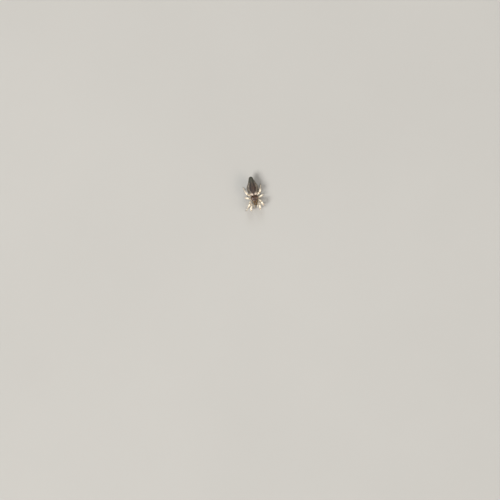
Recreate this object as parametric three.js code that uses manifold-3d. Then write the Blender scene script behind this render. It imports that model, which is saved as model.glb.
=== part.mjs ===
// A conical orb weaver, adult female, drawn in tight as it rests at the hub of its web.
// Millimetres, +Z up, head towards -Y, the spider's left side towards +X.
// The solids are the outer form with the coat of fine hairs included.
import * as THREE from 'three';
import { mergeVertices } from 'three/addons/utils/BufferGeometryUtils.js';
import Module from 'manifold-3d';

const wasm = await Module();
wasm.setup();

// ---------------------------------------------------------------- driving dimensions
const jointGap = 0.03;
const cutGap = 0.02;
const floorHeight = 0;
const legSides = 10;
const fineSides = 8;
const bodySides = 20;
const widestAt = 0.45;

// Stations of a lofted body from front or rear: [place along Y, half width, top, bottom].
const carapaceStations = [
  [0.06, 0, 1.34, 1.34],
  [0.02, 0.3, 1.48, 1.2],
  [-0.2, 0.64, 1.66, 1.15],
  [-0.55, 0.89, 1.86, 1.13],
  [-0.95, 0.97, 1.92, 1.13],
  [-1.35, 0.87, 1.88, 1.13],
  [-1.65, 0.61, 1.86, 1.15],
  [-1.9, 0.45, 1.97, 1.18],
  [-2.2, 0.42, 2.02, 1.26],
  [-2.42, 0.36, 1.94, 1.38],
  [-2.5, 0.2, 1.82, 1.46],
  [-2.53, 0, 1.64, 1.64],
];
const abdomenStations = [
  [-0.22, 0, 2.1, 2.1],
  [-0.13, 0.52, 2.46, 1.68],
  [0.12, 0.94, 2.74, 1.2],
  [0.55, 1.26, 2.94, 0.68],
  [1.15, 1.47, 3.06, 0.36],
  [1.75, 1.46, 3.08, 0.3],
  [2.25, 1.29, 3.03, 0.46],
  [2.65, 1.05, 2.96, 0.9],
  [3.05, 0.82, 2.9, 1.3],
  [3.5, 0.66, 2.84, 1.62],
  [4.0, 0.52, 2.76, 1.86],
  [4.34, 0.32, 2.62, 2.04],
  [4.45, 0, 2.34, 2.34],
];
const sternumStations = [
  [-0.42, 0, 0.92, 0.92],
  [-0.48, 0.14, 1.02, 0.76],
  [-0.8, 0.36, 1.08, 0.64],
  [-1.2, 0.46, 1.09, 0.61],
  [-1.52, 0.41, 1.08, 0.64],
  [-1.7, 0.26, 1.04, 0.72],
  [-1.75, 0, 0.88, 0.88],
];

// Eyes: radius, how far each stands out, and the direction from the head's middle to its place.
const headCentre = new THREE.Vector3(0, -2.08, 1.66);
const sunk = 0.35;
const eyeRows = {
  front_median: { radius: 0.075, yaw: 17, pitch: 8, proud: 0.02 },
  rear_median: { radius: 0.08, yaw: 13, pitch: 45, proud: 0.015 },
  front_lateral: { radius: 0.06, yaw: 58, pitch: -3, proud: 0.025 },
  rear_lateral: { radius: 0.06, yaw: 74, pitch: 12, proud: 0.025 },
};

// Legs: place of the coxa on the sternum's rim, then each length with its yaw and pitch.
// Yaw turns from straight ahead to the side and on to the rear; pitch is up from level.
const coxaHeight = 0.87;
const flatDepth = 0.06;
const tipBack = 0.7;
const frontLeg = {
  base: [0.47, -1.6],
  lengths: [0.62, 1.95, 0.8, 1.25, 1.15, 0.6],
  pitches: [10, 64, -22, -88, -124],
};
const secondLeg = {
  base: [0.53, -1.24],
  lengths: [0.62, 1.75, 0.72, 1.0, 0.95, 0.55],
  pitches: [10, 60, -24, -86, -118],
};
const thirdLeg = {
  base: [0.51, -0.87],
  lengths: [0.6, 1.15, 0.6, 0.66, 0.7, 0.5],
  pitches: [6, 66, -22, -84, -104],
};
const rearLeg = {
  base: [0.35, -0.52],
  lengths: [0.6, 1.7, 0.7, 1.05, 0.9, 0.5],
  pitches: [8, 54, -18, -78, -68],
};
const legs = {
  leg1_left: { ...frontLeg, side: 1, yaws: [48, -2, -2, -2, -6, -6] },
  leg1_right: { ...frontLeg, side: -1, yaws: [48, 16, 16, 16, 10, 10] },
  leg2_left: { ...secondLeg, side: 1, yaws: [76, 26, 26, 26, 24, 24] },
  leg2_right: {
    ...secondLeg,
    side: -1,
    yaws: [76, 22, 36, 44, 48, 52],
    pitches: [10, 60, -24, -80, -80],
  },
  leg3_left: { ...thirdLeg, side: 1, yaws: [102, 106, 112, 108, 96, 92] },
  leg3_right: { ...thirdLeg, side: -1, yaws: [102, 106, 114, 110, 96, 94] },
  leg4_left: { ...rearLeg, side: 1, yaws: [130, 128, 160, 166, 166, 168] },
  leg4_right: { ...rearLeg, side: -1, yaws: [130, 126, 158, 162, 164, 166] },
};
// Radii at the start, middle and end of coxa, femur, patella, tibia, metatarsus and tarsus.
const legRadii = [
  [0.165, 0.22, 0.24],
  [0.24, 0.27, 0.25],
  [0.25, 0.26, 0.25],
  [0.24, 0.26, 0.25],
  [0.24, 0.24, 0.23],
  [0.23, 0.23, 0.2],
];
// How far a length swells past its joints, and the room it leaves them, in radii.
const swelling = 1.06;
const roomByJoint = 0.15;

// Mouthparts, spinnerets and the other small pieces: places are for the left side where paired.
const chelicera = { place: [0.16, -2.4, 0.98], half: [0.135, 0.2, 0.48], lean: -14 };
const fang = {
  joints: [[0.2, -2.56, 0.56], [0.17, -2.6, 0.44], [0.04, -2.48, 0.36]],
  radii: [[0.06, 0.06, 0.05], [0.05, 0.045, 0.03]],
};
const palp = {
  joints: [[0.4, -2.0, 0.88], [0.48, -2.58, 1.02], [0.36, -2.98, 0.8], [0.25, -3.04, 0.32]],
  radii: [[0.13, 0.17, 0.18], [0.18, 0.18, 0.18], [0.18, 0.18, 0.13]],
};
const endite = { place: [0.2, -1.98, 0.8], half: [0.11, 0.18, 0.12] };
const labium = { place: [0, -1.86, 0.78], half: [0.13, 0.13, 0.1] };
const epigyne = { place: [0, 0.78, 0.46], half: [0.2, 0.24, 0.14] };
const pedicel = { place: [0, -0.05, 0.98], radius: 0.13, length: 0.9 };
const spinneret = { base: 0.11, tip: 0.05, length: 0.46, apart: 0.12 };
const spinneretPairs = { front: { y: 2.36, z: 0.42, lean: 10 }, rear: { y: 2.56, z: 0.62, lean: 45 } };

// ---------------------------------------------------------------- colours
function finish(color, roughness) {
  return new THREE.MeshStandardMaterial({ color, roughness, metalness: 0 });
}
const carapaceColour = '#4a3529';
const abdomenColour = '#5c5046';
const sternumColour = '#33271f';
const mouthColour = '#6a513a';
const fangColour = '#3a150c';
const eyeColour = '#120d0a';
const legColour = '#d9c8a8';
const spinneretColour = '#4b4036';

// ---------------------------------------------------------------- closed bodies
const radians = THREE.MathUtils.degToRad;

function signedVolume(geometry) {
  const place = geometry.attributes.position;
  const index = geometry.index;
  const corners = [new THREE.Vector3(), new THREE.Vector3(), new THREE.Vector3()];
  let volume = 0;
  for (let i = 0; i < index.count; i += 3) {
    corners.forEach((corner, k) => corner.fromBufferAttribute(place, index.getX(i + k)));
    volume += corners[0].dot(corners[1].clone().cross(corners[2])) / 6;
  }
  return volume;
}

// A closed skin over loops of points, each end drawn in to a tip.
function skinOver(loops, firstTip, lastTip) {
  const sides = loops[0].length;
  const points = [firstTip, ...loops.flat(), lastTip];
  const last = points.length - 1;
  const faces = [];
  for (let s = 0; s < sides; s += 1) {
    const next = (s + 1) % sides;
    faces.push(0, 1 + next, 1 + s);
    for (let ring = 0; ring < loops.length - 1; ring += 1) {
      const a = 1 + ring * sides;
      const b = a + sides;
      faces.push(a + s, a + next, b + s, a + next, b + next, b + s);
    }
    const a = 1 + (loops.length - 1) * sides;
    faces.push(a + s, a + next, last);
  }
  const geometry = new THREE.BufferGeometry().setFromPoints(points);
  geometry.setIndex(faces);
  if (signedVolume(geometry) < 0) {
    for (let i = 0; i < faces.length; i += 3) {
      [faces[i + 1], faces[i + 2]] = [faces[i + 2], faces[i + 1]];
    }
    geometry.setIndex(faces);
  }
  return geometry;
}

// A body along Y. The belly exponent squares the underside and the back exponent the top.
function loftAlongY(stations, { sides = bodySides, backPower = 1, bellyPower = 1, between = 1 }) {
  const outline = stations.map(([y, width, top]) => new THREE.Vector3(y, width, top));
  const keel = stations.map(([y, , , bottom]) => new THREE.Vector3(y, bottom, 0));
  const upper = new THREE.CatmullRomCurve3(outline, false, 'catmullrom', 0.5);
  const lower = new THREE.CatmullRomCurve3(keel, false, 'catmullrom', 0.5);
  const steps = (stations.length - 1) * between;
  const loops = [];
  for (let i = 1; i < steps; i += 1) {
    const [y, width, top] = upper.getPoint(i / steps).toArray();
    const bottom = lower.getPoint(i / steps).y;
    const middle = top * widestAt + bottom * (1 - widestAt);
    const loop = [];
    for (let s = 0; s < sides; s += 1) {
      const angle = (2 * Math.PI * s) / sides;
      const across = width * Math.cos(angle);
      const lift = Math.abs(Math.sin(angle));
      const rise = Math.sin(angle) >= 0 ? (top - middle) * lift ** backPower
        : (bottom - middle) * lift ** bellyPower;
      loop.push(new THREE.Vector3(across, y, middle + rise));
    }
    loops.push(loop);
  }
  const tips = [stations[0], stations[stations.length - 1]];
  const [first, last] = tips.map(([y, , top]) => new THREE.Vector3(0, y, top));
  return skinOver(loops, first, last);
}

function egg(centre, halfSizes, sides = legSides, rings = 6) {
  const geometry = new THREE.SphereGeometry(1, sides, rings);
  geometry.scale(...halfSizes);
  geometry.translate(...centre);
  return geometry;
}

// ---------------------------------------------------------------- cutting and joining
function weld(geometry) {
  const bare = geometry.clone();
  bare.deleteAttribute('normal');
  bare.deleteAttribute('uv');
  return mergeVertices(bare, 1e-5);
}

function toSolid(geometry) {
  const welded = weld(geometry);
  const vertProperties = new Float32Array(welded.attributes.position.array);
  const triVerts = new Uint32Array(welded.index.array);
  return new wasm.Manifold(new wasm.Mesh({ numProp: 3, vertProperties, triVerts }));
}

function toGeometry(solid) {
  const { vertProperties, triVerts } = solid.getMesh();
  const geometry = new THREE.BufferGeometry();
  geometry.setAttribute('position', new THREE.BufferAttribute(vertProperties, 3));
  geometry.setIndex(new THREE.BufferAttribute(triVerts, 1));
  return geometry;
}

// The same body with its skin moved out by a small clearance.
function grown(geometry, clearance) {
  const wider = weld(geometry);
  wider.computeVertexNormals();
  const place = wider.attributes.position;
  const normal = wider.attributes.normal;
  const point = new THREE.Vector3();
  const out = new THREE.Vector3();
  for (let i = 0; i < place.count; i += 1) {
    out.fromBufferAttribute(normal, i);
    point.fromBufferAttribute(place, i).addScaledVector(out, clearance);
    place.setXYZ(i, ...point.toArray());
  }
  return wider;
}

function carvedBy(geometry, ...neighbours) {
  const cutters = neighbours.map((neighbour) => toSolid(grown(neighbour, cutGap)));
  const solid = cutters.reduce((rest, cutter) => rest.subtract(cutter), toSolid(geometry));
  return toGeometry(solid);
}

const underFloor = new THREE.BoxGeometry(20, 20, 2).translate(0, 0, floorHeight - 1);

function standing(geometry) {
  return toGeometry(toSolid(geometry).subtract(toSolid(underFloor)));
}

// ---------------------------------------------------------------- limbs
function heading(side, yaw, pitch) {
  const level = Math.cos(radians(pitch));
  return new THREE.Vector3(
    side * level * Math.sin(radians(yaw)),
    -level * Math.cos(radians(yaw)),
    Math.sin(radians(pitch)),
  );
}

// The joints of a leg, from the coxa's base to the tip. The last drop is worked out so that the
// round end of the tarsus is just below the floor, where it is cut flat.
function legJoints({ side, base, lengths, yaws, pitches }) {
  const joints = [new THREE.Vector3(side * base[0], base[1], coxaHeight)];
  pitches.forEach((pitch, i) => {
    const step = heading(side, yaws[i], pitch).multiplyScalar(lengths[i]);
    joints.push(joints[i].clone().add(step));
  });
  const ankle = joints[joints.length - 1];
  const reach = lengths[lengths.length - 1];
  const tipRadius = legRadii[legRadii.length - 1][2];
  const sine = (ankle.z - tipRadius + flatDepth) / (reach - tipBack * tipRadius);
  if (sine > 1) throw new Error(`a foot hangs ${sine} times its reach above the floor`);
  const drop = THREE.MathUtils.radToDeg(Math.asin(sine));
  const backwards = pitches[pitches.length - 1] < -90;
  const pitch = backwards ? drop - 180 : -drop;
  joints.push(ankle.clone().add(heading(side, yaws[yaws.length - 1], pitch).multiplyScalar(reach)));
  return joints;
}

// One loop of points square to a limb, sheared into the mitre plane where two lengths meet.
function limbLoop(centre, direction, radius, reference, sides, mitre = direction) {
  const across = reference.clone().addScaledVector(direction, -reference.dot(direction)).normalize();
  const over = direction.clone().cross(across);
  const loop = [];
  for (let s = 0; s < sides; s += 1) {
    const angle = (2 * Math.PI * s) / sides;
    const offset = across.clone().multiplyScalar(radius * Math.cos(angle));
    offset.addScaledVector(over, radius * Math.sin(angle));
    offset.addScaledVector(direction, -offset.dot(mitre) / direction.dot(mitre));
    loop.push(centre.clone().add(offset));
  }
  return loop;
}

// Lengths of a limb between two joints, mitred to their neighbours, with a thin gap at each end.
function limbNode(joints, radii, first, last, sides = legSides) {
  const directions = joints.slice(1).map((joint, i) => joint.clone().sub(joints[i]).normalize());
  const mitreAt = (i) => {
    if (i === 0) return directions[0];
    if (i === directions.length) return directions[i - 1];
    return directions[i - 1].clone().add(directions[i]).normalize();
  };
  const sideways = directions[1].clone().cross(new THREE.Vector3(0, 0, 1)).normalize();
  const loops = [];
  for (let i = first; i < last; i += 1) {
    const direction = directions[i];
    const length = joints[i].distanceTo(joints[i + 1]);
    const [start, middle, end] = radii[i];
    const bend = (mitre) => Math.tan(Math.acos(Math.min(1, direction.dot(mitre))));
    const clearStart = start * (bend(mitreAt(i)) + roomByJoint);
    const clearEnd = end * (bend(mitreAt(i + 1)) + roomByJoint);
    const at = (distance) => joints[i].clone().addScaledVector(direction, distance);
    if (clearStart + clearEnd > length) throw new Error(`length ${i} is too short for its bends`);
    const addLoop = (distance, radius, mitre) => {
      loops.push(limbLoop(at(distance), direction, radius, sideways, sides, mitre));
    };
    if (i === first) addLoop(jointGap / 2, start, mitreAt(i));
    addLoop(clearStart, start * swelling);
    addLoop((clearStart + length - clearEnd) / 2, middle);
    if (i + 1 === directions.length) {
      addLoop(length - end * tipBack, end);
      addLoop(length - end * 0.2, end * 0.6);
    } else {
      addLoop(length - clearEnd, end * swelling);
      addLoop(i + 1 === last ? length - jointGap / 2 : length, end, mitreAt(i + 1));
    }
  }
  const middleOf = (loop) => loop.reduce((sum, point) => sum.add(point), new THREE.Vector3())
    .divideScalar(loop.length);
  const isTip = last === directions.length;
  const start = middleOf(loops[0]);
  const end = isTip ? joints[last].clone() : middleOf(loops[loops.length - 1]);
  return skinOver(loops, start, end);
}

// ---------------------------------------------------------------- the spider
const spider = new THREE.Group();

function addNode(name, geometry, color, roughness = 0.6) {
  const mesh = new THREE.Mesh(geometry, finish(color, roughness));
  mesh.name = name;
  spider.add(mesh);
  return mesh;
}

const wholeCarapace = loftAlongY(carapaceStations, { backPower: 0.85, bellyPower: 0.5 });
const abdomen = loftAlongY(abdomenStations, { backPower: 0.95, bellyPower: 0.95, between: 2 });
const sternum = loftAlongY(sternumStations, { sides: 16, backPower: 0.4, bellyPower: 0.7 });

function eyeGeometry(place, radius) {
  return egg(place.toArray(), [radius, radius, radius], fineSides, 6);
}

function eyes() {
  const target = new THREE.Mesh(wholeCarapace, new THREE.MeshBasicMaterial({ side: THREE.DoubleSide }));
  const found = {};
  for (const [row, { radius, yaw, pitch, proud }] of Object.entries(eyeRows)) {
    for (const [sideName, side] of [['left', 1], ['right', -1]]) {
      const direction = heading(side, yaw, pitch);
      const [hit] = new THREE.Raycaster(headCentre, direction).intersectObject(target);
      const place = hit.point.addScaledVector(direction, proud - radius * sunk);
      found[`eye_${row}_${sideName}`] = eyeGeometry(place, radius);
    }
  }
  return found;
}

const eyeNodes = eyes();
addNode('carapace', carvedBy(wholeCarapace, ...Object.values(eyeNodes)), carapaceColour, 0.45);
for (const [name, geometry] of Object.entries(eyeNodes)) {
  addNode(name, geometry, eyeColour, 0.15);
}
addNode('abdomen', abdomen, abdomenColour, 0.7);
addNode('sternum', sternum, sternumColour, 0.5);

const waist = new THREE.CylinderGeometry(pedicel.radius, pedicel.radius, pedicel.length, fineSides);
waist.translate(...pedicel.place);
addNode('pedicel', carvedBy(waist, abdomen, sternum, wholeCarapace), mouthColour);
addNode('labium', carvedBy(egg(labium.place, labium.half), sternum), mouthColour);
addNode('epigyne', carvedBy(egg(epigyne.place, epigyne.half), abdomen), mouthColour);

function mirrored([x, y, z], side) {
  return new THREE.Vector3(side * x, y, z);
}

// A chelicera is a stout upright egg under the front of the head.
function jawGeometry(side) {
  const body = egg([0, 0, 0], chelicera.half, legSides, 8);
  body.rotateX(radians(chelicera.lean));
  body.translate(...mirrored(chelicera.place, side).toArray());
  return carvedBy(body, wholeCarapace);
}

for (const [sideName, side] of [['left', 1], ['right', -1]]) {
  const onThisSide = (place) => mirrored(place, side);
  const jaw = jawGeometry(side);
  addNode(`chelicera_${sideName}`, jaw, mouthColour, 0.4);
  const hook = limbNode(fang.joints.map(onThisSide), fang.radii, 0, 2, fineSides);
  addNode(`fang_${sideName}`, carvedBy(hook, jaw), fangColour, 0.25);
  const lobe = egg(onThisSide(endite.place).toArray(), endite.half);
  addNode(`endite_${sideName}`, carvedBy(lobe, jaw, sternum, wholeCarapace), mouthColour);
  const joints = palp.joints.map(onThisSide);
  const base = limbNode(joints, palp.radii, 0, 1, fineSides);
  const tip = limbNode(joints, palp.radii, 1, 3, fineSides);
  addNode(`palp_base_${sideName}`, carvedBy(base, jaw, lobe, sternum, wholeCarapace), legColour);
  addNode(`palp_tip_${sideName}`, carvedBy(tip, jaw), legColour);
}

// Spinnerets: two pairs of short blunt cones under the base of the tail.
for (const [pair, { y, z, lean }] of Object.entries(spinneretPairs)) {
  for (const [sideName, side] of [['left', 1], ['right', -1]]) {
    const { base, tip, length, apart } = spinneret;
    const cone = new THREE.CylinderGeometry(base, tip, length, fineSides);
    cone.rotateX(radians(90 - lean));
    cone.translate(side * apart, y, z);
    addNode(`spinneret_${pair}_${sideName}`, carvedBy(cone, abdomen), spinneretColour);
  }
}

// Each leg: thigh with its coxa, knee with shin, and foot.
for (const [name, leg] of Object.entries(legs)) {
  const joints = legJoints(leg);
  const parts = [['thigh', 0, 2], ['shin', 2, 4], ['foot', 4, 6]];
  for (const [part, first, last] of parts) {
    addNode(`${name}_${part}`, standing(limbNode(joints, legRadii, first, last)), legColour);
  }
}

// The origin is under the middle of the whole spider, on the floor.
const whole = new THREE.Box3().setFromObject(spider);
const middle = whole.getCenter(new THREE.Vector3());
spider.position.set(-middle.x, -middle.y, -whole.min.z);

export default spider;
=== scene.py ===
import math

import bmesh
import bpy
import numpy as np
from mathutils import Matrix, Vector


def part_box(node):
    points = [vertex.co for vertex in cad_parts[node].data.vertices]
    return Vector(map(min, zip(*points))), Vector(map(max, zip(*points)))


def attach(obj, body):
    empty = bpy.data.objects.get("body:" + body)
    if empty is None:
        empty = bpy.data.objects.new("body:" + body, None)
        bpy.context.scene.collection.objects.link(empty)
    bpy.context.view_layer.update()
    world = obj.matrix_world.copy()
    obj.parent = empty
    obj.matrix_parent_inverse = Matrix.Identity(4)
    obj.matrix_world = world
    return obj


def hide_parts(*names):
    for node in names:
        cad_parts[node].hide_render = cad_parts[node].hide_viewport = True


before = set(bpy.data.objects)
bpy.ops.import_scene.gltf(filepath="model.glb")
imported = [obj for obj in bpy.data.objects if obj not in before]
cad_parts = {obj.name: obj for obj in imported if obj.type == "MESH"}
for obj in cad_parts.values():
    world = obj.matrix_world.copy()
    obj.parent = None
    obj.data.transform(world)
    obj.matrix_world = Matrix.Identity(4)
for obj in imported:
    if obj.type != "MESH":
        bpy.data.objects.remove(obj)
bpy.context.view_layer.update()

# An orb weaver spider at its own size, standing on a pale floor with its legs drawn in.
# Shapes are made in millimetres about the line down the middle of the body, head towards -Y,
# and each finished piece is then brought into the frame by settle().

MM = 0.001
CARAPACE_LOW, CARAPACE_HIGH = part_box("carapace")
# The head shield reaches from 2.53 mm ahead of the waist, and it is centred on the body's line.
BODY_LINE = (CARAPACE_LOW.x + CARAPACE_HIGH.x) / 2
WAIST = CARAPACE_LOW.y + 2.53 * MM
INTO_FRAME = Matrix.Translation((BODY_LINE, WAIST, 0)) @ Matrix.Diagonal((MM, MM, MM, 1))
OUT_OF_FRAME = INTO_FRAME.inverted()
UP = Vector((0, 0, 1))


# ---------------------------------------------------------------- modelling

def set_down():
    """Leaves edit mode and lets go of everything."""
    if bpy.context.object and bpy.context.object.mode != "OBJECT":
        bpy.ops.object.mode_set(mode="OBJECT")
    bpy.ops.object.select_all(action="DESELECT")


def pick_up(piece):
    set_down()
    piece.select_set(True)
    bpy.context.view_layer.objects.active = piece


def named(piece, name):
    piece.name = name
    piece.data.name = name
    return piece


def pick_points(piece, wanted):
    """In edit mode, selects the points that the test wants and nothing else."""
    edit = bmesh.from_edit_mesh(piece.data)
    edit.verts.ensure_lookup_table()
    bpy.ops.mesh.select_all(action="DESELECT")
    for vertex in edit.verts:
        vertex.select = wanted(vertex)
    edit.select_flush(True)
    bmesh.update_edit_mesh(piece.data)


def drawn_out(name, sides, rings):
    """A closed form drawn out ring by ring along Y: (along, half width, half height, lift)."""
    set_down()
    along, wide, tall, lift = rings[0]
    bpy.ops.mesh.primitive_circle_add(
        vertices=sides, radius=1, location=(0, along, lift), rotation=(math.pi / 2, 0, 0)
    )
    piece = named(bpy.context.object, name)
    bpy.ops.object.transform_apply(location=True, rotation=True, scale=True)
    bpy.ops.object.mode_set(mode="EDIT")
    bpy.ops.mesh.select_all(action="SELECT")
    bpy.ops.transform.resize(value=(wide, 1, tall), center_override=(0, along, lift))
    for next_along, next_wide, next_tall, next_lift in rings[1:]:
        bpy.ops.mesh.extrude_region_move(
            TRANSFORM_OT_translate={"value": (0, next_along - along, next_lift - lift)}
        )
        bpy.ops.transform.resize(
            value=(next_wide / wide, 1, next_tall / tall),
            center_override=(0, next_along, next_lift),
        )
        along, wide, tall, lift = next_along, next_wide, next_tall, next_lift
    # Both end rings close to a point.
    bpy.ops.mesh.merge(type="CENTER")
    pick_points(piece, lambda vertex: vertex.index < sides)
    bpy.ops.mesh.merge(type="CENTER")
    bpy.ops.mesh.select_all(action="SELECT")
    bpy.ops.mesh.normals_make_consistent(inside=False)
    bpy.ops.object.mode_set(mode="OBJECT")
    return piece


def put_in_order(piece):
    """Lists the points and faces by place. Drawing out lists the same ones in any order."""
    mesh = piece.data
    places = [tuple(round(value, 5) for value in vertex.co) for vertex in mesh.vertices]
    order = sorted(range(len(places)), key=places.__getitem__)
    rank = {old: new for new, old in enumerate(order)}
    points = [mesh.vertices[old].co.copy() for old in order]
    faces = []
    for face in mesh.polygons:
        corners = [rank[corner] for corner in face.vertices]
        first = corners.index(min(corners))
        faces.append(corners[first:] + corners[:first])
    mesh.clear_geometry()
    mesh.from_pydata(points, [], sorted(faces))


def softened(piece, levels):
    put_in_order(piece)
    pick_up(piece)
    soft = piece.modifiers.new("soft", "SUBSURF")
    soft.levels = levels
    soft.render_levels = levels
    bpy.ops.object.modifier_apply(modifier=soft.name)
    bpy.ops.object.shade_smooth()
    set_down()
    return piece


def shaped(name, sides, stations, levels):
    """A softened form through stations along Y: (along, half width, top, bottom)."""
    rings = [(y, wide, (top - low) / 2, (top + low) / 2) for y, wide, top, low in stations]
    return softened(drawn_out(name, sides, rings), levels)


def horn(name, points, radii, around=3, along=6):
    """A curved, tapering horn drawn along five points, closed at both ends."""
    set_down()
    bpy.ops.curve.primitive_nurbs_path_add(radius=1)
    path = bpy.context.object
    spline = path.data.splines[0]
    for place, point, radius in zip(spline.points, points, radii):
        place.co = (*point, 1)
        place.radius = radius
    spline.order_u = 4
    spline.use_endpoint_u = True
    path.data.resolution_u = along
    path.data.bevel_depth = 1
    path.data.bevel_resolution = around
    path.data.use_fill_caps = True
    bpy.ops.object.convert(target="MESH")
    piece = named(bpy.context.object, name)
    bpy.ops.object.mode_set(mode="EDIT")
    bpy.ops.mesh.select_all(action="SELECT")
    bpy.ops.mesh.remove_doubles(threshold=0.0001)
    bpy.ops.mesh.normals_make_consistent(inside=False)
    bpy.ops.object.mode_set(mode="OBJECT")
    bpy.ops.object.transform_apply(location=True, rotation=True, scale=True)
    bpy.ops.object.shade_smooth()
    set_down()
    return piece


def moved(piece, matrix):
    """Moves a mesh by the matrix, and keeps its faces outward where that mirrors it."""
    piece.data.transform(matrix)
    if matrix.to_3x3().determinant() < 0:
        piece.data.flip_normals()
    return piece


def copied(piece, name, matrix):
    """A copy with its own mesh, put in place by the matrix."""
    twin = piece.copy()
    twin.data = piece.data.copy()
    bpy.context.scene.collection.objects.link(twin)
    return named(moved(twin, matrix), name)


def joined(parts, name):
    pick_up(parts[0])
    for part in parts:
        part.select_set(True)
    if len(parts) > 1:
        bpy.ops.object.join()
    piece = named(bpy.context.view_layer.objects.active, name)
    set_down()
    return piece


def settle(piece, finish, slot, *nodes):
    """Brings a finished piece into the frame, gives it its finish and lets it ride."""
    piece.data.transform(INTO_FRAME)
    piece.data.materials.clear()
    piece.data.materials.append(finish)
    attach(piece, "root")
    if nodes:
        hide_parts(*nodes)
    return piece


def vectors_of(piece, kind):
    found = np.empty(len(piece.data.vertices) * 3, np.float32)
    piece.data.vertices.foreach_get(kind, found)
    return found.reshape(-1, 3).astype(float)


def points_of(piece):
    return vectors_of(piece, "co")


def normals_of(piece):
    return vectors_of(piece, "normal")


def swollen(piece, push):
    """Moves each point of the piece outwards by its own push in millimetres."""
    points = points_of(piece) + normals_of(piece) * push[:, None]
    piece.data.vertices.foreach_set("co", points.astype(np.float32).ravel())
    piece.data.update()
    return piece


def note(piece, name, values):
    """Writes one number for each point of the piece, for its finish to read."""
    marks = piece.data.attributes.new(name, "FLOAT", "POINT")
    marks.data.foreach_set("value", np.asarray(values, np.float32))


def hill(distance, reach):
    """1 in the middle, falling smoothly to 0."""
    return np.exp(-((distance / reach) ** 2))


def step(low, high, value):
    share = np.clip((value - low) / (high - low), 0, 1)
    return share * share * (3 - 2 * share)


def ripple(points, size, seed):
    """Smooth uneven values between about -1 and 1, from crossing waves."""
    chance = np.random.default_rng(seed)
    total = np.zeros(len(points))
    for _ in range(9):
        way = chance.normal(size=3)
        way *= 2 * math.pi / size / np.linalg.norm(way) * chance.uniform(0.7, 1.4)
        total += np.sin(points @ way + chance.uniform(0, 2 * math.pi))
    return total / 3


def square_to(way, facing):
    """The facing, turned square to the way."""
    return (facing - way * facing.dot(way)).normalized()


def standing(start, way, upper, stretch=1, thicken=1):
    """The matrix that puts a form drawn along Y in its place, pointing the way it goes."""
    turn = Matrix((way.cross(upper), way, upper)).transposed().to_4x4()
    return Matrix.Translation(start) @ turn @ Matrix.Diagonal((thicken, stretch, thicken, 1))


def mirror_to(side, place):
    return Vector((side * place[0], place[1], place[2]))


# ---------------------------------------------------------------- finishes

def hue(code):
    """A colour written as six hexadecimal digits, as the shader wants it."""
    shades = [int(code[at:at + 2], 16) / 255 for at in (0, 2, 4)]
    return (*[s / 12.92 if s < 0.04045 else ((s + 0.055) / 1.055) ** 2.4 for s in shades], 1)


def put(tree, kind, given=None, **settings):
    node = tree.nodes.new(kind)
    for key, value in settings.items():
        setattr(node, key, value)
    for key, value in (given or {}).items():
        if isinstance(value, bpy.types.NodeSocket):
            tree.links.new(value, node.inputs[key])
        else:
            node.inputs[key].default_value = value
    return node


def sums(tree, operation, a, b=0.0, c=0.0):
    return put(tree, "ShaderNodeMath", {0: a, 1: b, 2: c}, operation=operation).outputs[0]


def times(tree, value, *shares):
    for share in shares:
        value = sums(tree, "MULTIPLY", value, share)
    return value


def added(tree, share, amount, value):
    """The value with a share of the amount added to it."""
    return sums(tree, "MULTIPLY_ADD", amount, share, value)


def blend(tree, share, a, b):
    given = {0: share, 6: a, 7: b}
    return put(tree, "ShaderNodeMix", given, data_type="RGBA").outputs[2]


def between(tree, value, low, high, start=0.0, end=1.0):
    given = {"Value": value, "From Min": low, "From Max": high, "To Min": start, "To Max": end}
    kind = "SMOOTHSTEP"
    return put(tree, "ShaderNodeMapRange", given, interpolation_type=kind).outputs["Result"]


def tones(tree, value, low, high, first, second):
    """From the first tone to the second as the value climbs from low to high."""
    return blend(tree, between(tree, value, low, high), hue(first), hue(second))


def dabbed(tree, colour, share, tone):
    """The colour with a share of another tone laid over it."""
    return blend(tree, share, colour, hue(tone))


def cloud(tree, place, scale, detail=3.0, rough=0.55):
    given = {"Vector": place, "Scale": scale, "Detail": detail, "Roughness": rough}
    return put(tree, "ShaderNodeTexNoise", given).outputs["Fac"]


def cells(tree, place, scale):
    given = {"Vector": place, "Scale": scale}
    return put(tree, "ShaderNodeTexVoronoi", given, feature="F1").outputs["Distance"]


def read(tree, name):
    return put(tree, "ShaderNodeAttribute", attribute_name=name).outputs["Fac"]


def group(name, takes, gives):
    """A node group with named sockets. Returns its tree, its inputs and its output node."""
    tree = bpy.data.node_groups.new(name, "ShaderNodeTree")
    kinds = {"f": "NodeSocketFloat", "c": "NodeSocketColor", "v": "NodeSocketVector"}
    for socket, kind in takes:
        tree.interface.new_socket(name=socket, in_out="INPUT", socket_type=kinds[kind])
    for socket, kind in gives:
        tree.interface.new_socket(name=socket, in_out="OUTPUT", socket_type=kinds[kind])
    return tree, tree.nodes.new("NodeGroupInput").outputs, tree.nodes.new("NodeGroupOutput")


def use(tree, made, **given):
    return put(tree, "ShaderNodeGroup", given, node_tree=made).outputs


def blank(name, **plain):
    """A material with its shader, and a place vector in millimetres."""
    material = bpy.data.materials.new(name)
    material.use_nodes = True
    tree = material.node_tree
    tree.nodes.clear()
    shader = tree.nodes.new("ShaderNodeBsdfPrincipled")
    out = tree.nodes.new("ShaderNodeOutputMaterial")
    tree.links.new(shader.outputs[0], out.inputs["Surface"])
    for key, value in plain.items():
        shader.inputs[key.replace("_", " ")].default_value = value
    where = tree.nodes.new("ShaderNodeTexCoord").outputs["Object"]
    sizes = {"Vector": where, "Scale": (1 / MM, 1 / MM, 1 / MM)}
    place = put(tree, "ShaderNodeMapping", sizes).outputs[0]
    return material, tree, shader, place


def feed(tree, shader, **given):
    for key, value in given.items():
        tree.links.new(value, shader.inputs[key.replace("_", " ")])


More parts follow.
